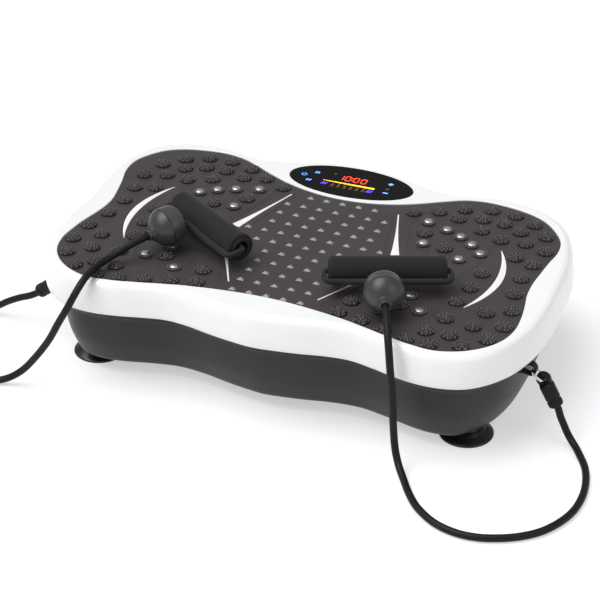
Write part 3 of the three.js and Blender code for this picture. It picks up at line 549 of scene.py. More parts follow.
# ---------------------------------------------------------------- bands and straps
BANDS = {
    "left": [
        (-287.9, ANCHOR_Y, 43), (-292.5, ANCHOR_Y, 39.6), (-301, ANCHOR_Y, 34.8),
        (-314, ANCHOR_Y, 29.2), (-329, ANCHOR_Y, 21.2), (-342, ANCHOR_Y, 12.8), (-355, -89, 6.5),
        (-369, -92, FLOOR_Z), (-383, -98, FLOOR_Z), (-394, -108, FLOOR_Z),
        (-399, -123, FLOOR_Z), (-399, -142, FLOOR_Z), (-393, -163, FLOOR_Z),
        (-379, -184, FLOOR_Z), (-360, -201, FLOOR_Z), (-337, -213, FLOOR_Z),
        (-313, -217.5, FLOOR_Z), (-291, -215, FLOOR_Z), (-275, -210, 4.8), (-262, -206, 9),
        (-247.5, -203, 19.5), (-230, -203, 40), (-212.5, -203, 65), (-200, -203, 88),
        (-189, -201.5, 108), (-182.5, -195.5, 122.5), (-180, -184, 130.5), (-179, -168, 134),
        (-177, -150, 134.4), (-172, -136, 136.2), (-165.5, -126, 139.8), (-158.5, -117, 143.6),
        (-151.5, -107.8, 146.7), (-145.5, -98.1, 148.25),
    ],
    "right": [
        (291.8, ANCHOR_Y, 42.2), (293.9, ANCHOR_Y, 38.2), (296.4, ANCHOR_Y, 30.5),
        (300.4, ANCHOR_Y, 21.8), (304.6, -89.2, 14.2), (310.2, -92.4, 8.4), (316.6, -98.2, 5.2),
        (323, -107.5, FLOOR_Z), (334, -127, FLOOR_Z), (341.5, -151, FLOOR_Z),
        (344.5, -176, FLOOR_Z), (342.5, -201, FLOOR_Z), (335, -223, FLOOR_Z),
        (323, -242.5, FLOOR_Z), (307, -257, FLOOR_Z), (289, -267, FLOOR_Z),
        (271, -273, FLOOR_Z), (251, -274, FLOOR_Z), (228, -267.5, FLOOR_Z),
        (205, -251, FLOOR_Z), (190, -233, FLOOR_Z), (177, -213, 4.6), (167, -199.5, 9.5),
        (160.5, -192, 21), (157, -189, 42), (155, -187.5, 66), (153, -187.5, 92),
        (151, -187, 110), (147.8, -182.5, 126), (143.6, -175, 137), (138.8, -165, 144.3),
        (134.2, -154.8, 148), (131, -147.4, 149.2), (128.03, -140.6, 149.86),
    ],
}


def add_bands():
    for side, route in BANDS.items():
        line = smooth_line(route, 300)
        band = make(f"resistance_band_{side}", tube(line, BAND_R, TUBE_SIDES), LOOK["cord"],
                    None, [f"band_{side}"])
        tube_uv(band, line, BAND_R, TUBE_SIDES)
        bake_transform(band)


add_bands()

HANDLES = {
    "left": {"ball": (-134, -78.5, 151.7), "axis": (-0.5, -0.85, -0.15),
             "grip": ((-149, -18), (-49, -83))},
    "right": {"ball": (118.8, -119.6, 151.7), "axis": (0.4, -0.91, -0.08),
              "grip": ((50, -91), (158, -46))},
}
# Strap points are (along the grip from its middle, out towards the ball, height).
END_TURN = [
    (59.6, 18.1, 142.8), (62.2, 16.1, 143.3), (63.6, 12.6, 144), (64, 8.6, 144.6), (63.3, 4.2, 145),
    (61, 0.8, GRIP_Z), (57, 0, GRIP_Z),
]
OTHER_TURN = [(-s, out, z) for s, out, z in reversed(END_TURN)]
STRAPS = {
    "left": [
        (-8.1, 29.2, 153.5), (-8, 27.6, 153.3), (-7, 25.5, 152.3), (-3, 23.2, 149.8), (3, 21.3, 147),
        (11, 19.6, 144.6), (22, 18.7, 143), (36, 18.4, 142.6), (50, 18.3, 142.6),
        *END_TURN, (0, 0, GRIP_Z), *OTHER_TURN,
        (-52, 18.4, 142.6), (-45, 18.6, 143), (-37.5, 19.4, 144.6), (-31, 20.9, 147.2),
        (-26, 23, 150), (-22.2, 25.5, 152.3), (-21.2, 27.6, 153.3), (-21.1, 29.2, 153.5),
    ],
    "right": [
        (-12.7, 40, 152.7), (-12.8, 37.5, 152.5), (-14.4, 34, 151.4), (-18.4, 29.5, 149),
        (-24.4, 25.2, 146.4), (-32, 21.6, 144.2), (-40, 19.4, 143), (-50, 18.4, 142.6),
        *OTHER_TURN[::-1], (0, 0, GRIP_Z), *END_TURN[::-1],
        (50, 18.3, 142.6), (40, 18.6, 142.6), (30, 19.8, 143), (20, 22, 144.3), (12, 25.6, 146.6),
        (6, 30, 149.4), (2, 34, 151.4), (0.4, 37.5, 152.5), (0.3, 40, 152.7),
    ],
}


def beside_grip(spec, along_grip, out, z):
    """A point given along a grip and out towards its ball, in plan coordinates."""
    start, end = (np.array(p) for p in spec["grip"])
    run = (end - start) / np.linalg.norm(end - start)
    middle = (start + end) / 2
    across = np.array((run[1], -run[0]))
    if np.dot(across, np.array(spec["ball"][:2]) - middle) < 0:
        across = -across
    x, y = middle + run * along_grip + across * out
    return (x, y, z)


def add_straps():
    for side, route in STRAPS.items():
        line = smooth_line([beside_grip(HANDLES[side], *p) for p in route], 260)
        strap = make(f"handle_strap_{side}", tube(line, STRAP_R, TUBE_SIDES), LOOK["strap"],
                     "platform", [f"strap_cord_{side}"])
        tube_uv(strap, line, STRAP_R, TUBE_SIDES)


add_straps()

# ---------------------------------------------------------------- shell
SHELL_HALF = [
    (0, -176), (40, -171), (97, -161.5), (150, -173), (187, -177), (222, -167), (249, -137.5),
    (264, -100), (270, -50), (268.5, 0), (269, 45), (264, 88), (247, 130), (212, 156),
    (176, 163), (148, 160), (120, 153), (98, 155), (72, 162), (40, 173), (0, 177),
]
MAT_HALF = [
    (0, -133.5), (80, -142), (150, -159.5), (186, -164), (222, -148), (244, -116), (246, -75),
    (237, -15), (244, 40), (249.5, 78), (236, 110), (213, 131.5), (163, 143.5), (135, 140),
    (104, 124), (76, 107.5), (36, 93.5), (0, 89.5),
]
SHELL_OUTLINE = plan_outline(SHELL_HALF)
MAT_OUTLINE = plan_outline(MAT_HALF)


def ellipse(grow=0.0, count=128):
    angles = 2 * math.pi * np.arange(count) / count
    return np.stack([DISPLAY[0] + (DISPLAY_A + grow) * np.cos(angles),
                     DISPLAY[1] + (DISPLAY_B + grow) * np.sin(angles)], axis=1)


def lipped(outline, floor, radius=0.9, steps=5):
    """A recess cutter whose mouth flares into a rounded lip at the deck."""
    levels = [(0, floor), (0, DECK_Z - radius)]
    for i in range(1, steps + 1):
        a = math.pi / 2 * i / steps
        levels.append((-radius * (1 - math.cos(a)), DECK_Z - radius + radius * math.sin(a)))
    return loft(outline, levels + [(-radius, DECK_Z + 2)])


def add_shell():
    skirt = smooth_line([(1.0, SEAM_Z), (0, SEAM_Z + 1.5), (1.6, 112), (3.4, 119.5), (6.4, 124),
                         (11.2, DECK_Z)], 26)
    outer = loft(SHELL_OUTLINE, [*map(tuple, skirt), (12, DECK_Z), (13.5, DECK_Z)])
    shell = make("top_cover", outer, LOOK["shell"], None)
    carve(shell, loft(SHELL_OUTLINE, [(3, SEAM_Z - 1), (3.2, 108), (9, DECK_UNDER)]))
    for x in (-180, 180):
        for y in (-84, 84):
            carve(shell, rod(6, (x, y, 112.5), (x, y, DECK_UNDER + 1), 32), "UNION")
    carve(shell, lipped(inset(MAT_OUTLINE, -GAP), MAT_UNDER - GAP))
    carve(shell, lipped(ellipse(GAP), DECK_Z - 3.4, 0.6))
    x, y = DISPLAY
    carve(shell, box((x - 48, y - 14, 115), (x + 48, y + 14, 124)))
    settle(shell, LOOK["shell"], "platform", "top_shell")


add_shell()

# ---------------------------------------------------------------- foot mat
NODULES = [
    (227, 29), (231, 60), (223, 91), (204, 112), (180, 124), (153, 126), (125, 117), (101, 102),
    (76, 90), (224, -2), (227, -35),
    (206, 37), (207, 69), (195, 91), (174, 102), (150, 103), (125, 95), (181, 67), (156, 79),
    (102, 51), (132, 28), (184, -7), (182, -39), (178, -70), (212, -80), (234, -67), (236, -99),
    (228, -127), (208, -148), (208, -109), (192, -133), (168, -134), (155, -156), (129, -149),
    (103, -140), (77, -134), (81, -109), (129, -97), (178, -105), (179, -157),
]
STUDS = [
    (170, 30), (156, 45), (140, 57), (122, 66), (98, 75), (108, 29), (153, 11), (130, 2),
    (132, -77), (150, -102), (111, -115),
]
# The raised outline of a foot round the studs of the right half.
FOOT_LINE = [
    (82, 72), (84, 92), (95.5, 99), (109, 88), (128, 76), (143, 70), (161, 58.5), (176, 45.5),
    (178, 30), (174, 10), (167, -10), (162, -30), (163, -70), (166, -92), (154, -115),
    (132, -127), (112, -124.5), (100, -113), (101, -88), (108, -66), (112, -40), (108, -12),
    (98, 18), (88, 48),
]
STRAIGHT_STRIPES = {
    "back": {"tip": (62, 80.5), "wide": (90, -8), "half": 5.2},
    "front": {"tip": (48.5, -118), "wide": (89, -38), "half": 4.8},
}
CRESCENT = {"x": 188, "back": 47.5, "front": -76.5, "outer": 19.5, "inner": 13}
LATTICE = {"pitch": (18.6, 21.0), "origin": (-1.9, -4.3), "rows": range(-6, 5), "size": 4.1,
           "depth": 2.7, "top": 2.2}


def straight_stripe(stripe, side, grow=0.0, steps=16):
    tip, wide = Vector(stripe["tip"]), Vector(stripe["wide"])
    run = wide - tip
    across = Vector((-run.y, run.x)).normalized()
    ahead = run.normalized()
    right, left = [], []
    for i in range(steps + 1):
        t = i / steps
        width = 0.8 + (stripe["half"] - 0.8) * t ** 2.2 + grow
        point = tip + run * t + ahead * (grow if t else -grow)
        right.append(point + across * width)
        left.append(point - across * width)
    return np.array([(side * p.x, p.y) for p in right + left[::-1]])


def crescent_stripe(side, grow=0.0, steps=32):
    c = CRESCENT
    half, mid = (c["back"] - c["front"]) / 2 + grow, (c["back"] + c["front"]) / 2
    turns = np.linspace(-1, 1, steps + 1)
    outer = [(side * (c["x"] + (c["outer"] + grow) * (1 - t * t) + grow), mid + half * t) for t in turns]
    inner = [(side * (c["x"] + (c["inner"] - grow) * (1 - t * t) - 0.8 - grow), mid + half * t)
             for t in turns[::-1]]
    return np.array(outer + inner)


def anticlockwise(ring):
    area = np.sum(ring[:, 0] * np.roll(ring[:, 1], -1) - ring[:, 1] * np.roll(ring[:, 0], -1))
    return ring if area > 0 else ring[::-1]


def stripe_rings(grow=0.0):
    rings = {}
    for side_name, side in SIDES:
        for row, stripe in STRAIGHT_STRIPES.items():
            rings[f"{row}_{side_name}"] = anticlockwise(straight_stripe(stripe, side, grow))
        rings[f"curved_{side_name}"] = anticlockwise(crescent_stripe(side, grow))
    return rings


def kept_inside(part, outline):
    """Moves points that stand outside an outline to its nearest point."""
    points, faces = part
    moved = []
    following = np.roll(outline, -1, axis=0)
    for x, y, z in points:
        p = np.array((x, y))
        crosses = (outline[:, 1] > y) != (following[:, 1] > y)
        with np.errstate(divide="ignore", invalid="ignore"):
            at = outline[:, 0] + (y - outline[:, 1]) / (following[:, 1] - outline[:, 1]) * (
                following[:, 0] - outline[:, 0])
        if np.count_nonzero(crosses & (x < at)) % 2:
            moved.append((x, y, z))
            continue
        run = following - outline
        t = np.clip(np.sum((p - outline) * run, axis=1) / np.sum(run * run, axis=1), 0, 1)
        near = outline + t[:, None] * run
        best = near[np.argmin(np.linalg.norm(near - p, axis=1))]
        moved.append((best[0], best[1], z))
    return moved, faces


def bead(x, y, z, radius):
    """A small dome, sunk a little into what it stands on."""
    profile = [(0, z - 0.7), (radius, z - 0.6), (radius * 0.96, z), (radius * 0.7, z + radius * 0.7),
               (0, z + radius)]
    return lathe(profile, 8, Matrix.Translation((x, y, 0)))


def bead_ring(x, y, radius, z, count, size, stray=0.0):
    """Beads spaced round a centre, each a little off its place."""
    turn = random.uniform(0, 2 * math.pi)
    beads = []
    for i in range(count):
        a = turn + 2 * math.pi * i / count + random.uniform(-stray, stray)
        r = radius + random.uniform(-stray, stray)
        beads.append(bead(x + r * math.cos(a), y + r * math.sin(a), z, size * random.uniform(0.9, 1.1)))
    return beads


def nodule_pad(x, y):
    """The low rubber pad under a nodule's beads."""
    return lathe(rounded([(0, MAT_TOP - 0.6), (8.8, MAT_TOP - 0.6), (8.5, 126.4), (7.6, 128.1),
                          (0, 128.4)], 0.7, 3), 28, Matrix.Translation((x, y, 0)))


def nodule_beads(x, y):
    beads = [bead(x, y, 128.6, 1.15)]
    for radius, z, count in ((2.7, 128.5, 5), (5.4, 128.25, 9), (7.7, 127.2, 12)):
        beads += bead_ring(x, y, radius, z, count, 1.0, 0.2)
    return beads


def stud_socket(x, y):
    """The rubber cup that holds a stud."""
    return lathe(rounded([(0, MAT_TOP - 0.6), (7.4, MAT_TOP - 0.6), (7.1, 126.4), (6.3, 127.5),
                          (5.2, 127.7), (0, 127.2)], 0.5, 3), 28, Matrix.Translation((x, y, 0)))


def ridge(line, width=0.7, height=0.55, closed=False):
    """A low rounded rib along a plan line on the mat."""
    run = [(x, y, MAT_TOP - 0.1) for x, y in line]
    points, faces = tube(run, width, 8, closed)
    return [(x, y, MAT_TOP - 0.1 + (z - MAT_TOP + 0.1) * height / width) for x, y, z in points], faces


def pyramid(x, y):
    half, depth, top = LATTICE["size"], LATTICE["depth"], LATTICE["top"]
    low = [(x - half, y - depth, MAT_TOP - 0.3), (x + half, y - depth, MAT_TOP - 0.3),
           (x + half * 0.9, y + depth * 0.8, MAT_TOP - 0.3),
           (x - half * 0.9, y + depth * 0.8, MAT_TOP - 0.3)]
    tip = (x, y + depth * 0.2, MAT_TOP + top)
    return [*low, tip], [(3, 2, 1, 0), (0, 1, 4), (1, 2, 4), (2, 3, 4), (3, 0, 4)]


def lattice_half_width(y):
    """Room between the straight stripes at a given y."""
    for stripe in STRAIGHT_STRIPES.values():
        (tx, ty), (wx, wy) = stripe["tip"], stripe["wide"]
        if min(ty, wy) <= y <= max(ty, wy):
            return tx + (wx - tx) * (y - ty) / (wy - ty) - 11
    return 78 if y > -60 and y < 0 else 42


def lattice():
    parts = []
    (px, py), (ox, oy) = LATTICE["pitch"], LATTICE["origin"]
    for row in LATTICE["rows"]:
        y = oy + row * py
        for column in range(-5, 6):
            x = ox + column * px
            if abs(x) < lattice_half_width(y):
                parts.append(pyramid(x, y))
    return merge(*parts)


def add_mat():
    edge = [(0.3, MAT_UNDER), (0, MAT_UNDER + 0.4), (0, MAT_TOP - 0.8), (0.12, MAT_TOP - 0.4),
            (0.4, MAT_TOP - 0.12), (0.8, MAT_TOP), (2.2, MAT_TOP)]
    slab = make("mat_slab", loft(MAT_OUTLINE, edge), LOOK["mat"], None)
    for ring in stripe_rings(GAP).values():
        carve(slab, prism(ring, 123.3, MAT_TOP + 1))
    settle(slab, LOOK["mat"], "platform", "foot_mat")
    rim = inset(MAT_OUTLINE, 0.15)
    for side_name, side in SIDES:
        pads = [kept_inside(nodule_pad(side * x, y), rim) for x, y in NODULES]
        pads += [stud_socket(side * x, y) for x, y in STUDS]
        make(f"mat_nodules_{side_name}", merge(*pads), LOOK["pad"], "platform")
        beads = [kept_inside(part, rim) for x, y in NODULES for part in nodule_beads(side * x, y)]
        for x, y in STUDS:
            beads += bead_ring(side * x, y, 6.6, 127.0, 14, 1.05)
        make(f"mat_beads_{side_name}", merge(*beads), LOOK["bead"], "platform")
        foot = smooth_line([(side * x, y) for x, y in FOOT_LINE], 160, closed=True)
        ridges = [ridge(foot, closed=True)]
        for line in (((56, 84), (79, -18)), ((79, 66), (101, -6)), ((92, -50), (54, -126))):
            (x0, y0), (x1, y1) = line
            ridges.append(ridge([(side * (x0 + (x1 - x0) * i / 12), y0 + (y1 - y0) * i / 12)
                                 for i in range(13)]))
        make(f"mat_ridges_{side_name}", merge(*ridges), LOOK["mat"], "platform")
    # The pyramids wear the lighter lattice look, a painted highlight on the mat's own rubber.
    make("mat_lattice", lattice(), LOOK["lattice"], "platform", smooth=20)


add_mat()


def add_stripes():
    for name, ring in stripe_rings().items():
        levels = [(0, 123.6), (0, 124.95), (0.12, 125.2), (0.35, 125.3)]
        make(f"inlay_{name}", loft(ring, levels), LOOK["stripe"], "platform",
             [f"stripe_{name}"])


add_stripes()


def add_studs():
    dome = [(0, 126.9), (4.9, 126.9), (4.9, 127.7)]
    dome += [(4.9 * math.cos(a), 127.7 + 1.7 * math.sin(a)) for a in np.linspace(0.15, 1.45, 8)]
    dome.append((0, 129.4))
    for side_name, side in SIDES:
        for i, (x, y) in enumerate(STUDS):
            make(f"stud_{side_name}_{i + 1}", lathe(dome, 32, Matrix.Translation((side * x, y, 0))),
                 LOOK["stud"], "platform")


add_studs()

# ---------------------------------------------------------------- display
RED = glow("lit_red", (1.0, 0.05, 0.01), 3.0)
YELLOW = glow("lit_yellow", (1.0, 0.62, 0.02), 2.4)
VIOLET = glow("lit_violet", (0.10, 0.04, 1.0), 2.2)
BLUE = glow("lit_blue", (0.10, 0.32, 1.0), 3.2)
AMBER = glow("lit_amber", (0.45, 0.20, 0.01), 0.35)
GLYPH_LOW = LENS_TOP - 0.05
GLYPH_HIGH = LENS_TOP + 0.05

SEGMENTS = {
    "top": ((-1, 1), (1, 1)), "middle": ((-1, 0), (1, 0)), "bottom": ((-1, -1), (1, -1)),
    "upper_left": ((-1, 1), (-1, 0)), "lower_left": ((-1, 0), (-1, -1)),
    "upper_right": ((1, 1), (1, 0)), "lower_right": ((1, 0), (1, -1)),
}
DIGITS = {
    "0": ("top", "bottom", "upper_left", "lower_left", "upper_right", "lower_right"),
    "1": ("upper_right", "lower_right"),
}


def stroke(a, b, width):
    """A flat bar with pointed ends on the window, between two places given from its centre."""
    start, end = Vector(a), Vector(b)
    ahead = (end - start).normalized() * width / 2
    across = Vector((-ahead.y, ahead.x))
    ring = [start, start + ahead - across, end - ahead - across, end, end - ahead + across,
            start + ahead + across]
    return prism([(DISPLAY[0] + p.x, DISPLAY[1] + p.y) for p in ring], GLYPH_LOW, GLYPH_HIGH)


def patch(ring):
    return prism([(DISPLAY[0] + x, DISPLAY[1] + y) for x, y in ring], GLYPH_LOW, GLYPH_HIGH)


def digit(character, x, y, half_width=2.7, half_height=5.0, width=1.25):
    """A seven-segment figure; each segment stops a little short of its ends."""
    short = 0.06
    parts = []
    for name in DIGITS[character]:
        a, b = (Vector((x + px * half_width, y + py * half_height)) for px, py in SEGMENTS[name])
        parts.append(stroke(a.lerp(b, short), b.lerp(a, short), width))
    return merge(*parts)


def add_display():
    lens = loft(ellipse(), [(0, DECK_Z - 3.1), (0, LENS_TOP - 0.5), (0.12, LENS_TOP - 0.2),
                            (0.4, LENS_TOP), (1.5, LENS_TOP)])
    window = make("display_window", lens, LOOK["lens"], "platform", ["display_lens"])
    weigh_normals(window)

    middle = 6.2
    time_parts = [digit("1", -14.0, middle), digit("0", -5.6, middle), digit("0", 4.0, middle),
                  digit("0", 13.0, middle)]
    time_parts += [patch([(-1.4, y - 0.7), (-0.1, y - 0.7), (-0.1, y + 0.7), (-1.4, y + 0.7)])
                   for y in (middle - 2.2, middle + 2.2)]
    make("display_time", merge(*time_parts), RED, "platform")

    bars = []
    x = -30.5
    for i in range(12):
        length, height = 2.0 + 0.42 * i, 0.55 + 0.11 * i
        bars.append(patch([(x, -5.8 - height), (x + length, -5.8 - height), (x + length, -5.8 + height),
                           (x, -5.8 + height)]))
        x += length + 0.75
    make("display_level_bar", merge(*bars), YELLOW, "platform")

    marks = []
    for x, y in ((-27, -12.6), (26.2, -13.6)):
        for offset in (-2.2, 0, 2.2):
            marks.append(stroke((x + offset - 1.4, y - 2.8), (x + offset + 1.4, y + 2.8), 1.5))
    make("display_step_marks", merge(*marks), VIOLET, "platform")

    icons = []
    ring = [(-55 + 2.9 * math.cos(a), -0.8 + 2.9 * math.sin(a)) for a in np.linspace(2.2, 7.2, 11)]
    icons += [stroke(a, b, 0.9) for a, b in zip(ring, ring[1:])]
    icons.append(stroke((-55, 3.2), (-55, 0), 0.9))
    zigzag = [(-48.6, -13.8), (-46.9, -9.6), (-44.8, -13.6), (-43.0, -9.4)]
    icons += [stroke(a, b, 1.3) for a, b in zip(zigzag, zigzag[1:])]
    for offset in (0, 3.0):
        icons.append(stroke((-45.6 + offset, 6.0), (-43.2 + offset, 8.4), 1.1))
        icons.append(stroke((-43.2 + offset, 8.4), (-45.6 + offset, 10.8), 1.1))
    icons.append(stroke((39.4, 11.4), (46.2, 11.4), 1.9))
    icons.append(stroke((42.8, 8.2), (42.8, 14.6), 1.9))
    icons.append(stroke((40.6, -10), (47.0, -10), 2.0))
    make("display_icons", merge(*icons), BLUE, "platform")

    figures = []
    for x in np.linspace(-17, 19, 6):
        head = [(x + 1.1 * math.cos(a), -11 + 1.1 * math.sin(a)) for a in np.linspace(0, 2 * math.pi, 9)]
        figures.append(patch(head[:-1]))
        for (x0, y0), (x1, y1), width in (((0, -12.4), (0.5, -15.4), 1.0),
                                          ((-2.2, -13.4), (2.2, -12.6), 0.7),
                                          ((0.4, -15.2), (-1.8, -17.4), 0.8),
                                          ((0.4, -15.2), (2.2, -17.2), 0.8)):
            figures.append(stroke((x + x0, y0), (x + x1, y1), width))
    figures.append(patch([(-24.5, 11.6), (-21.5, 11.6), (-21.5, 13.2), (-24.5, 13.2)]))
    for y in (1.0, -0.6, -2.2):
        figures.append(stroke((40.8, y), (45.0, y), 0.6))
    make("display_programs", merge(*figures), AMBER, "platform")


add_display()

# ---------------------------------------------------------------- base
PANEL = {"half": 46, "low": 34, "high": 68, "y": 146}
INLET = {"x": 20, "z": 51, "half_x": 14, "half_z": 10}
SWITCH = {"x": -22, "z": 51, "half_x": 10, "half_z": 7}
WEBBING_SLOT = {"x": 255, "half_x": 14, "half_y": 10, "low": 71.5, "high": 86.5}


def add_base():
    wall = smooth_line([(28.4, 20.5), (24.5, 30), (20.5, 42), (18.5, 55), (17.2, 72)], 16)
    levels = [(35, BASE_BOTTOM), (32.4, BASE_BOTTOM + 0.3), (30.3, BASE_BOTTOM + 1.4)]
    levels += [*map(tuple, wall), (17, 75.4), (16.6, 77.2), (15.6, 78.8), (13.8, 80.8), (10.4, 84.6),
               (8, 87.2), (6.8, 88.8), (6.4, 90), (6.2, 103)]
    base = make("base_tub", loft(SHELL_OUTLINE, levels), LOOK["base"], None)
    hollow = [(35, BASE_BOTTOM + 3), (28.5, 28), (23, 45), (21.6, 60), (20.2, 72), (20, 78),
              (9.6, 91.5), (9.2, 104)]
    carve(base, loft(SHELL_OUTLINE, hollow))
    half, low, high, y = PANEL["half"], PANEL["low"], PANEL["high"], PANEL["y"]
    backing = make("backing", box((-half - 3, y - 10, low - 3), (half + 3, 175, high + 3)),
                   LOOK["base"], None)
    carve(backing, loft(SHELL_OUTLINE, levels), "INTERSECT")
    points = [((v.co - SHIFT) / MM)[:] for v in backing.data.vertices]
    carve(base, (points, [tuple(p.vertices) for p in backing.data.polygons]), "UNION")
    bpy.data.objects.remove(backing)
    for x in (-140, 140):
        for post_y in (-70, 70):
            carve(base, rod(8, (x, post_y, BASE_BOTTOM + 2), (x, post_y, 25), 32), "UNION")
    carve(base, box((-half, y, low), (half, 180, high)))
    for hole in (INLET, SWITCH):
        x, z = hole["x"], hole["z"]
        hx, hz = hole["half_x"] + GAP, hole["half_z"] + GAP
        carve(base, box((x - hx, y - 14, z - hz), (x + hx, y + 5, z + hz)))
    slot = WEBBING_SLOT
    for _, side in SIDES:
        x, hx, hy = side * slot["x"], slot["half_x"], slot["half_y"]
        carve(base, box((x - hx, ANCHOR_Y - hy, slot["low"]), (x + hx, ANCHOR_Y + hy, slot["high"])))
    settle(base, LOOK["base"], "base", "base_shell")


add_base()

# ---------------------------------------------------------------- suction feet
FOOT_R = 28
FEET = {"front": (206, -108), "back": (200, 100)}


def add_feet():
    cup = [(0, 1.6), (18, 1.6), (21.5, 0), (FOOT_R - 0.6, 0), (FOOT_R, 0.7), (FOOT_R, 2.2), (26.6, 3.2),
           (20, 6.6), (16.2, 9.6), (15.2, 10.2), (14.2, 12), (13.5, 16.2), (0, 16.2)]
    for row, (x, y) in FEET.items():
        for side_name, side in SIDES:
            part = lathe(rounded(cup, 0.7, 4), 72, Matrix.Translation((side * x, y, 0)))
            make(f"suction_foot_{row}_{side_name}", part, LOOK["feet"], "base",
                 [f"foot_{row}_{side_name}"])


add_feet()

# ---------------------------------------------------------------- band anchors
LOOP = {"round": 7, "round_x": 262.6, "z": 79, "half": 14, "neck": 3.4, "thick": 1.8, "width": 7}
CLIP = {"reach": 6.8, "wide": 6.1, "wire": 1.5, "gate_half": 3.9}
SLEEVE = {"length": 26.5, "radius": 7.7, "tab_r": 7.4, "tab_half": 3, "hole_r": 2.6, "hole_up": 4}
ANCHORS = {
    "left": {"side": -1, "clip_tilt": math.pi / 2, "sleeve_tilt": 0.644},
    "right": {"side": 1, "clip_tilt": 0.567, "sleeve_tilt": 1.07},
}


def down(x, z, distance, tilt):
    return x + distance * math.cos(tilt), z - distance * math.sin(tilt)


for anchor in ANCHORS.values():
    slack = LOOP["round"] - LOOP["thick"] - CLIP["wire"] - 2 * GAP
    top_bar = down(LOOP["round_x"], LOOP["z"], slack, anchor["clip_tilt"])
    anchor["ring"] = down(*top_bar, CLIP["reach"], anchor["clip_tilt"])
    low_bar = down(*top_bar, 2 * CLIP["reach"], anchor["clip_tilt"])
    anchor["hole"] = down(*low_bar, SLEEVE["hole_r"] - CLIP["wire"] - GAP, anchor["sleeve_tilt"])


def leaned(anchor, x, z, angle):
    """The matrix that turns a shape by its own slope in the X-Z plane and puts it in place."""
    turn = Matrix.Rotation(anchor["side"] * angle, 4, "Y")
    return Matrix.Translation((anchor["side"] * x, ANCHOR_Y, z)) @ turn


def moved(part, matrix):
    points, faces = part
    return [tuple(matrix @ Vector(p)) for p in points], faces


def webbing_part(anchor):
    """The strap: one flat band, doubled back on itself round the ring."""
    r, half, neck, thick = LOOP["round"], LOOP["half"], LOOP["neck"], LOOP["thick"]
    middle = half - r
    line = [(-half, neck), (-half + 6, neck)]
    line += [(middle + r * math.cos(a), r * math.sin(a)) for a in np.linspace(1.45, -1.45, 22)]
    line += [(-half + 6, -neck), (-half, -neck)]
    line = smooth_line(line, 64)
    rings = []
    for i, (x, z) in enumerate(line):
        ahead = line[min(i + 1, len(line) - 1)] - line[max(i - 1, 0)]
        out = np.array((-ahead[1], ahead[0])) / np.linalg.norm(ahead)
        spread = np.clip((middle * 0.3 - x) / 10, 0, 1)
        width = LOOP["width"] / 2 + (9.0 - LOOP["width"] / 2) * spread ** 1.3
        outer, inner = np.array((x, z)), np.array((x, z)) - out * thick
        rings.append([(outer[0], -width, outer[1]), (outer[0], width, outer[1]),
                      (inner[0], width, inner[1]), (inner[0], -width, inner[1])])
    turn = Matrix.Rotation(0 if anchor["side"] > 0 else math.pi, 4, "Z")
    offset = Matrix.Translation((anchor["side"] * (LOOP["round_x"] + r - half), ANCHOR_Y, LOOP["z"]))
    return moved(skin(rings), offset @ turn)


def ring_line(start, end, count):
    """Points on the ring's fourth-power oval between two angles, in its own plane."""
    line = []
    for a in np.linspace(start, end, count):
        c, s = math.cos(a), math.sin(a)
        line.append((CLIP["reach"] * math.copysign(abs(c) ** 0.5, c),
                     CLIP["wide"] * math.copysign(abs(s) ** 0.5, s), 0))
    return line


def add_anchors():
    for name, anchor in ANCHORS.items():
        make(f"webbing_strap_{name}", webbing_part(anchor), LOOK["webbing"], "base",
             [f"webbing_loop_{name}"], smooth=60)
        ring_x, ring_z = anchor["ring"]
        matrix = leaned(anchor, ring_x, ring_z, anchor["clip_tilt"])
        gate_x = CLIP["gate_half"]
        open_at = math.asin((1 - (gate_x / CLIP["reach"]) ** 4) ** 0.5)
        wire = smooth_line(ring_line(math.pi - open_at, 2 * math.pi + open_at, 73), 90)
        make(f"snap_ring_{name}", moved(tube(wire, CLIP["wire"], 16), matrix), LOOK["chrome"],
             "base", [f"clip_ring_{name}"], smooth=50)
        tip = gate_x - GAP - 0.2                # clear of the wire when the gate swings
        gate = rod(1.0, (-tip, CLIP["wide"], 0), (tip, CLIP["wide"], 0), 20)
        make(f"snap_gate_{name}", moved(gate, matrix), LOOK["chrome"], f"gate_{name}",
             [f"clip_gate_{name}"], smooth=50)
        add_sleeve(name, anchor)


def add_sleeve(name, anchor):
    length, radius, up = SLEEVE["length"], SLEEVE["radius"], SLEEVE["hole_up"]
    tab_r, tab_half, hole_r = SLEEVE["tab_r"], SLEEVE["tab_half"], SLEEVE["hole_r"]
    bottom = -length - up
    profile = rounded([(0, bottom + 3), (BAND_R + 0.4, bottom + 3), (BAND_R + 0.4, bottom),
                       (radius - 1.0, bottom), (radius, bottom + 1.5), (radius, bottom + 6),
                       (radius - 0.7, bottom + 6.8), (radius - 0.7, bottom + 8.4),
                       (radius, bottom + 9.2), (radius, -up - 2), (radius - 1.6, -up), (0, -up)], 0.8)
    x, z = anchor["hole"]
    lean = Matrix.Rotation(-anchor["side"] * (math.pi / 2 - anchor["sleeve_tilt"]), 4, "Y")
    matrix = Matrix.Translation((anchor["side"] * x, ANCHOR_Y, z)) @ lean
    barrel = moved(lathe(profile, 48), matrix)
    sleeve = make(f"band_end_{name}", barrel, LOOK["handle"], None)
    lug = rounded([(0, -tab_half), (tab_r, -tab_half), (tab_r, tab_half), (0, tab_half)], 1.2)
    carve(sleeve, moved(lathe(lug, 48, along((0, 0, 1), (0, 1, 0))), matrix), "UNION")
    neck = box((-tab_r + 0.8, -tab_half + 0.4, -up - 1.2), (tab_r - 0.8, tab_half - 0.4, 1))
    carve(sleeve, moved(neck, matrix), "UNION")
    carve(sleeve, moved(rod(hole_r, (0, -tab_half - 1, 0), (0, tab_half + 1, 0), 32), matrix))
    settle(sleeve, LOOK["cord"], "base", f"band_sleeve_{name}")


add_anchors()

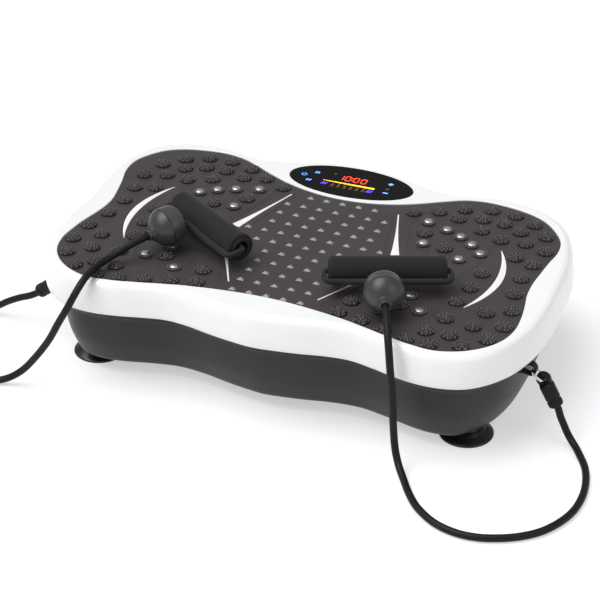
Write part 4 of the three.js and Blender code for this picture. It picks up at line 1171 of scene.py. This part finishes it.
# ---------------------------------------------------------------- handles
BALL_SEAM = 5
CAP_END = -12
NOZZLE_END = 26


def ball_arc(start, end, count):
    return [(math.sqrt(BALL_R ** 2 - h * h), h) for h in np.linspace(start, end, count)]


def add_handles():
    hollow = (4.3, BALL_SEAM + 4)
    bulb = [hollow, (17, BALL_SEAM + 4), (17, BALL_SEAM), (20.3, BALL_SEAM), (20.7, BALL_SEAM + 0.4)]
    bulb += ball_arc(BALL_SEAM + 0.9, 18.4, 34)
    bulb += [(9.6, 19.4), (8.3, 19.9), (8.1, 21.4), (7.6, 22), (6.4, 22.1), (6, 22.6), (6, 25.4),
             (5.5, NOZZLE_END), (4.3, NOZZLE_END), hollow]
    drum = smooth_line([(16.8, CAP_END + 0.6), (18.8, CAP_END + 3), (20.6, BALL_SEAM - 3),
                        (20.8, BALL_SEAM - GAP)], 16)
    cap = [(0, CAP_END + 0.4), (8.5, CAP_END + 0.4), (9, CAP_END), (14, CAP_END),
           (15.6, CAP_END + 0.15), *map(tuple, drum), (16.6, BALL_SEAM - GAP),
           (16.6, BALL_SEAM + 3.6), (0, BALL_SEAM + 3.6)]
    for name, spec in HANDLES.items():
        matrix = along(spec["ball"], spec["axis"])
        make(f"ball_{name}", lathe(bulb, 72, matrix), LOOK["handle"], "platform",
             [f"handle_ball_{name}"], smooth=30)
        make(f"ball_cap_{name}", lathe(cap, 72, matrix), LOOK["handle_cap"], "platform",
             [f"handle_cap_{name}"], smooth=30)
        add_grip(name, *spec["grip"])


def add_grip(name, start, end):
    middle = ((start[0] + end[0]) / 2, (start[1] + end[1]) / 2, GRIP_Z)
    matrix = along(middle, (end[0] - start[0], end[1] - start[1], 0))
    half, inner = GRIP_LENGTH / 2, CORE_R + GAP
    wall = [(GRIP_R - 2.2, half), (GRIP_R - 0.7, half - 0.6), (GRIP_R - 0.1, half - 2.2)]
    body = [(GRIP_R - 0.12 + 0.12 * math.cos(6 * z / half), z) for z in np.linspace(half - 6, 6 - half, 40)]
    profile = [(inner, -half), (inner, half), *wall, *body,
               *[(r, -z) for r, z in reversed(wall)], (inner, -half)]
    foam = make(f"foam_grip_{name}", lathe(profile, 72, matrix), LOOK["foam"], f"grip_{name}",
                [f"grip_foam_{name}"], smooth=50)
    tip = half + 1
    core = [(CORE_BORE_R, -tip), (CORE_BORE_R, tip), (CORE_R + 1.6, tip), (CORE_R + 2, tip - 0.3),
            (CORE_R + 1.8, half + 0.12), (CORE_R, half + 0.1), (CORE_R, -half - 0.1),
            (CORE_R + 1.8, -half - 0.12), (CORE_R + 2, -tip + 0.3), (CORE_R + 1.6, -tip),
            (CORE_BORE_R, -tip)]
    make(f"grip_liner_{name}", lathe(core, 64, matrix), LOOK["base"], f"grip_{name}",
         [f"grip_core_{name}"], smooth=40)


add_handles()


# ---------------------------------------------------------------- CAD pieces that stay
def finish_cad():
    """Every CAD node still shown gets the procedural material of its own slot."""
    slots = {row["node"]: row["material_slot"] for row in frame["record"]["subparts"]}
    for name, obj in frame["nodes"].items():
        if not obj.hide_render:
            obj.data.materials.clear()
            obj.data.materials.append(LOOK[slots[name]])


finish_cad()


# ---------------------------------------------------------------- stage
def add_stage():
    mesh = bpy.data.meshes.new("floor")
    reach = 40.0
    mesh.from_pydata([(-reach, -reach, 0), (reach, -reach, 0), (reach, reach, 0), (-reach, reach, 0)],
                     [], [(0, 1, 2, 3)])
    floor = bpy.data.objects.new("floor", mesh)
    bpy.context.collection.objects.link(floor)
    material, tree, shader = start_material("floor", 0.8)
    coords = node(tree, "ShaderNodeTexCoord").outputs["Object"]
    patches = noise(tree, coords, 2, 2.0)
    tree.links.new(ramp(tree, patches, (0.5, 0.5, 0.5), (0.51, 0.51, 0.51)), shader.inputs["Base Color"])
    shader.inputs["Emission Color"].default_value = (1, 1, 1, 1)
    shader.inputs["Emission Strength"].default_value = 0.5
    mesh.materials.append(material)

    world = bpy.data.worlds.new("studio")
    world.use_nodes = True
    background = world.node_tree.nodes["Background"]
    background.inputs["Color"].default_value = (1, 1, 1, 1)
    background.inputs["Strength"].default_value = 0.42
    bpy.context.scene.world = world

    for name, place_at, size, power in (
        ("key", (-0.9, -1.5, 1.9), 1.6, 16),
        ("fill", (1.9, -0.6, 1.3), 1.4, 8),
    ):
        data = bpy.data.lights.new(name, "AREA")
        data.shape = "SQUARE"
        data.size = size
        data.energy = power
        light = bpy.data.objects.new(name, data)
        light.location = place_at
        light.rotation_euler = (Vector(place_at) - Vector((0, 0, 0.1))).to_track_quat("Z", "Y").to_euler()
        bpy.context.collection.objects.link(light)
    data = bpy.data.lights.new("overhead", "SUN")
    data.angle = math.radians(50)
    data.energy = 2.3
    light = bpy.data.objects.new("overhead", data)
    light.rotation_euler = Vector((-0.35, -0.15, 0.93)).to_track_quat("Z", "Y").to_euler()
    bpy.context.collection.objects.link(light)


add_stage()
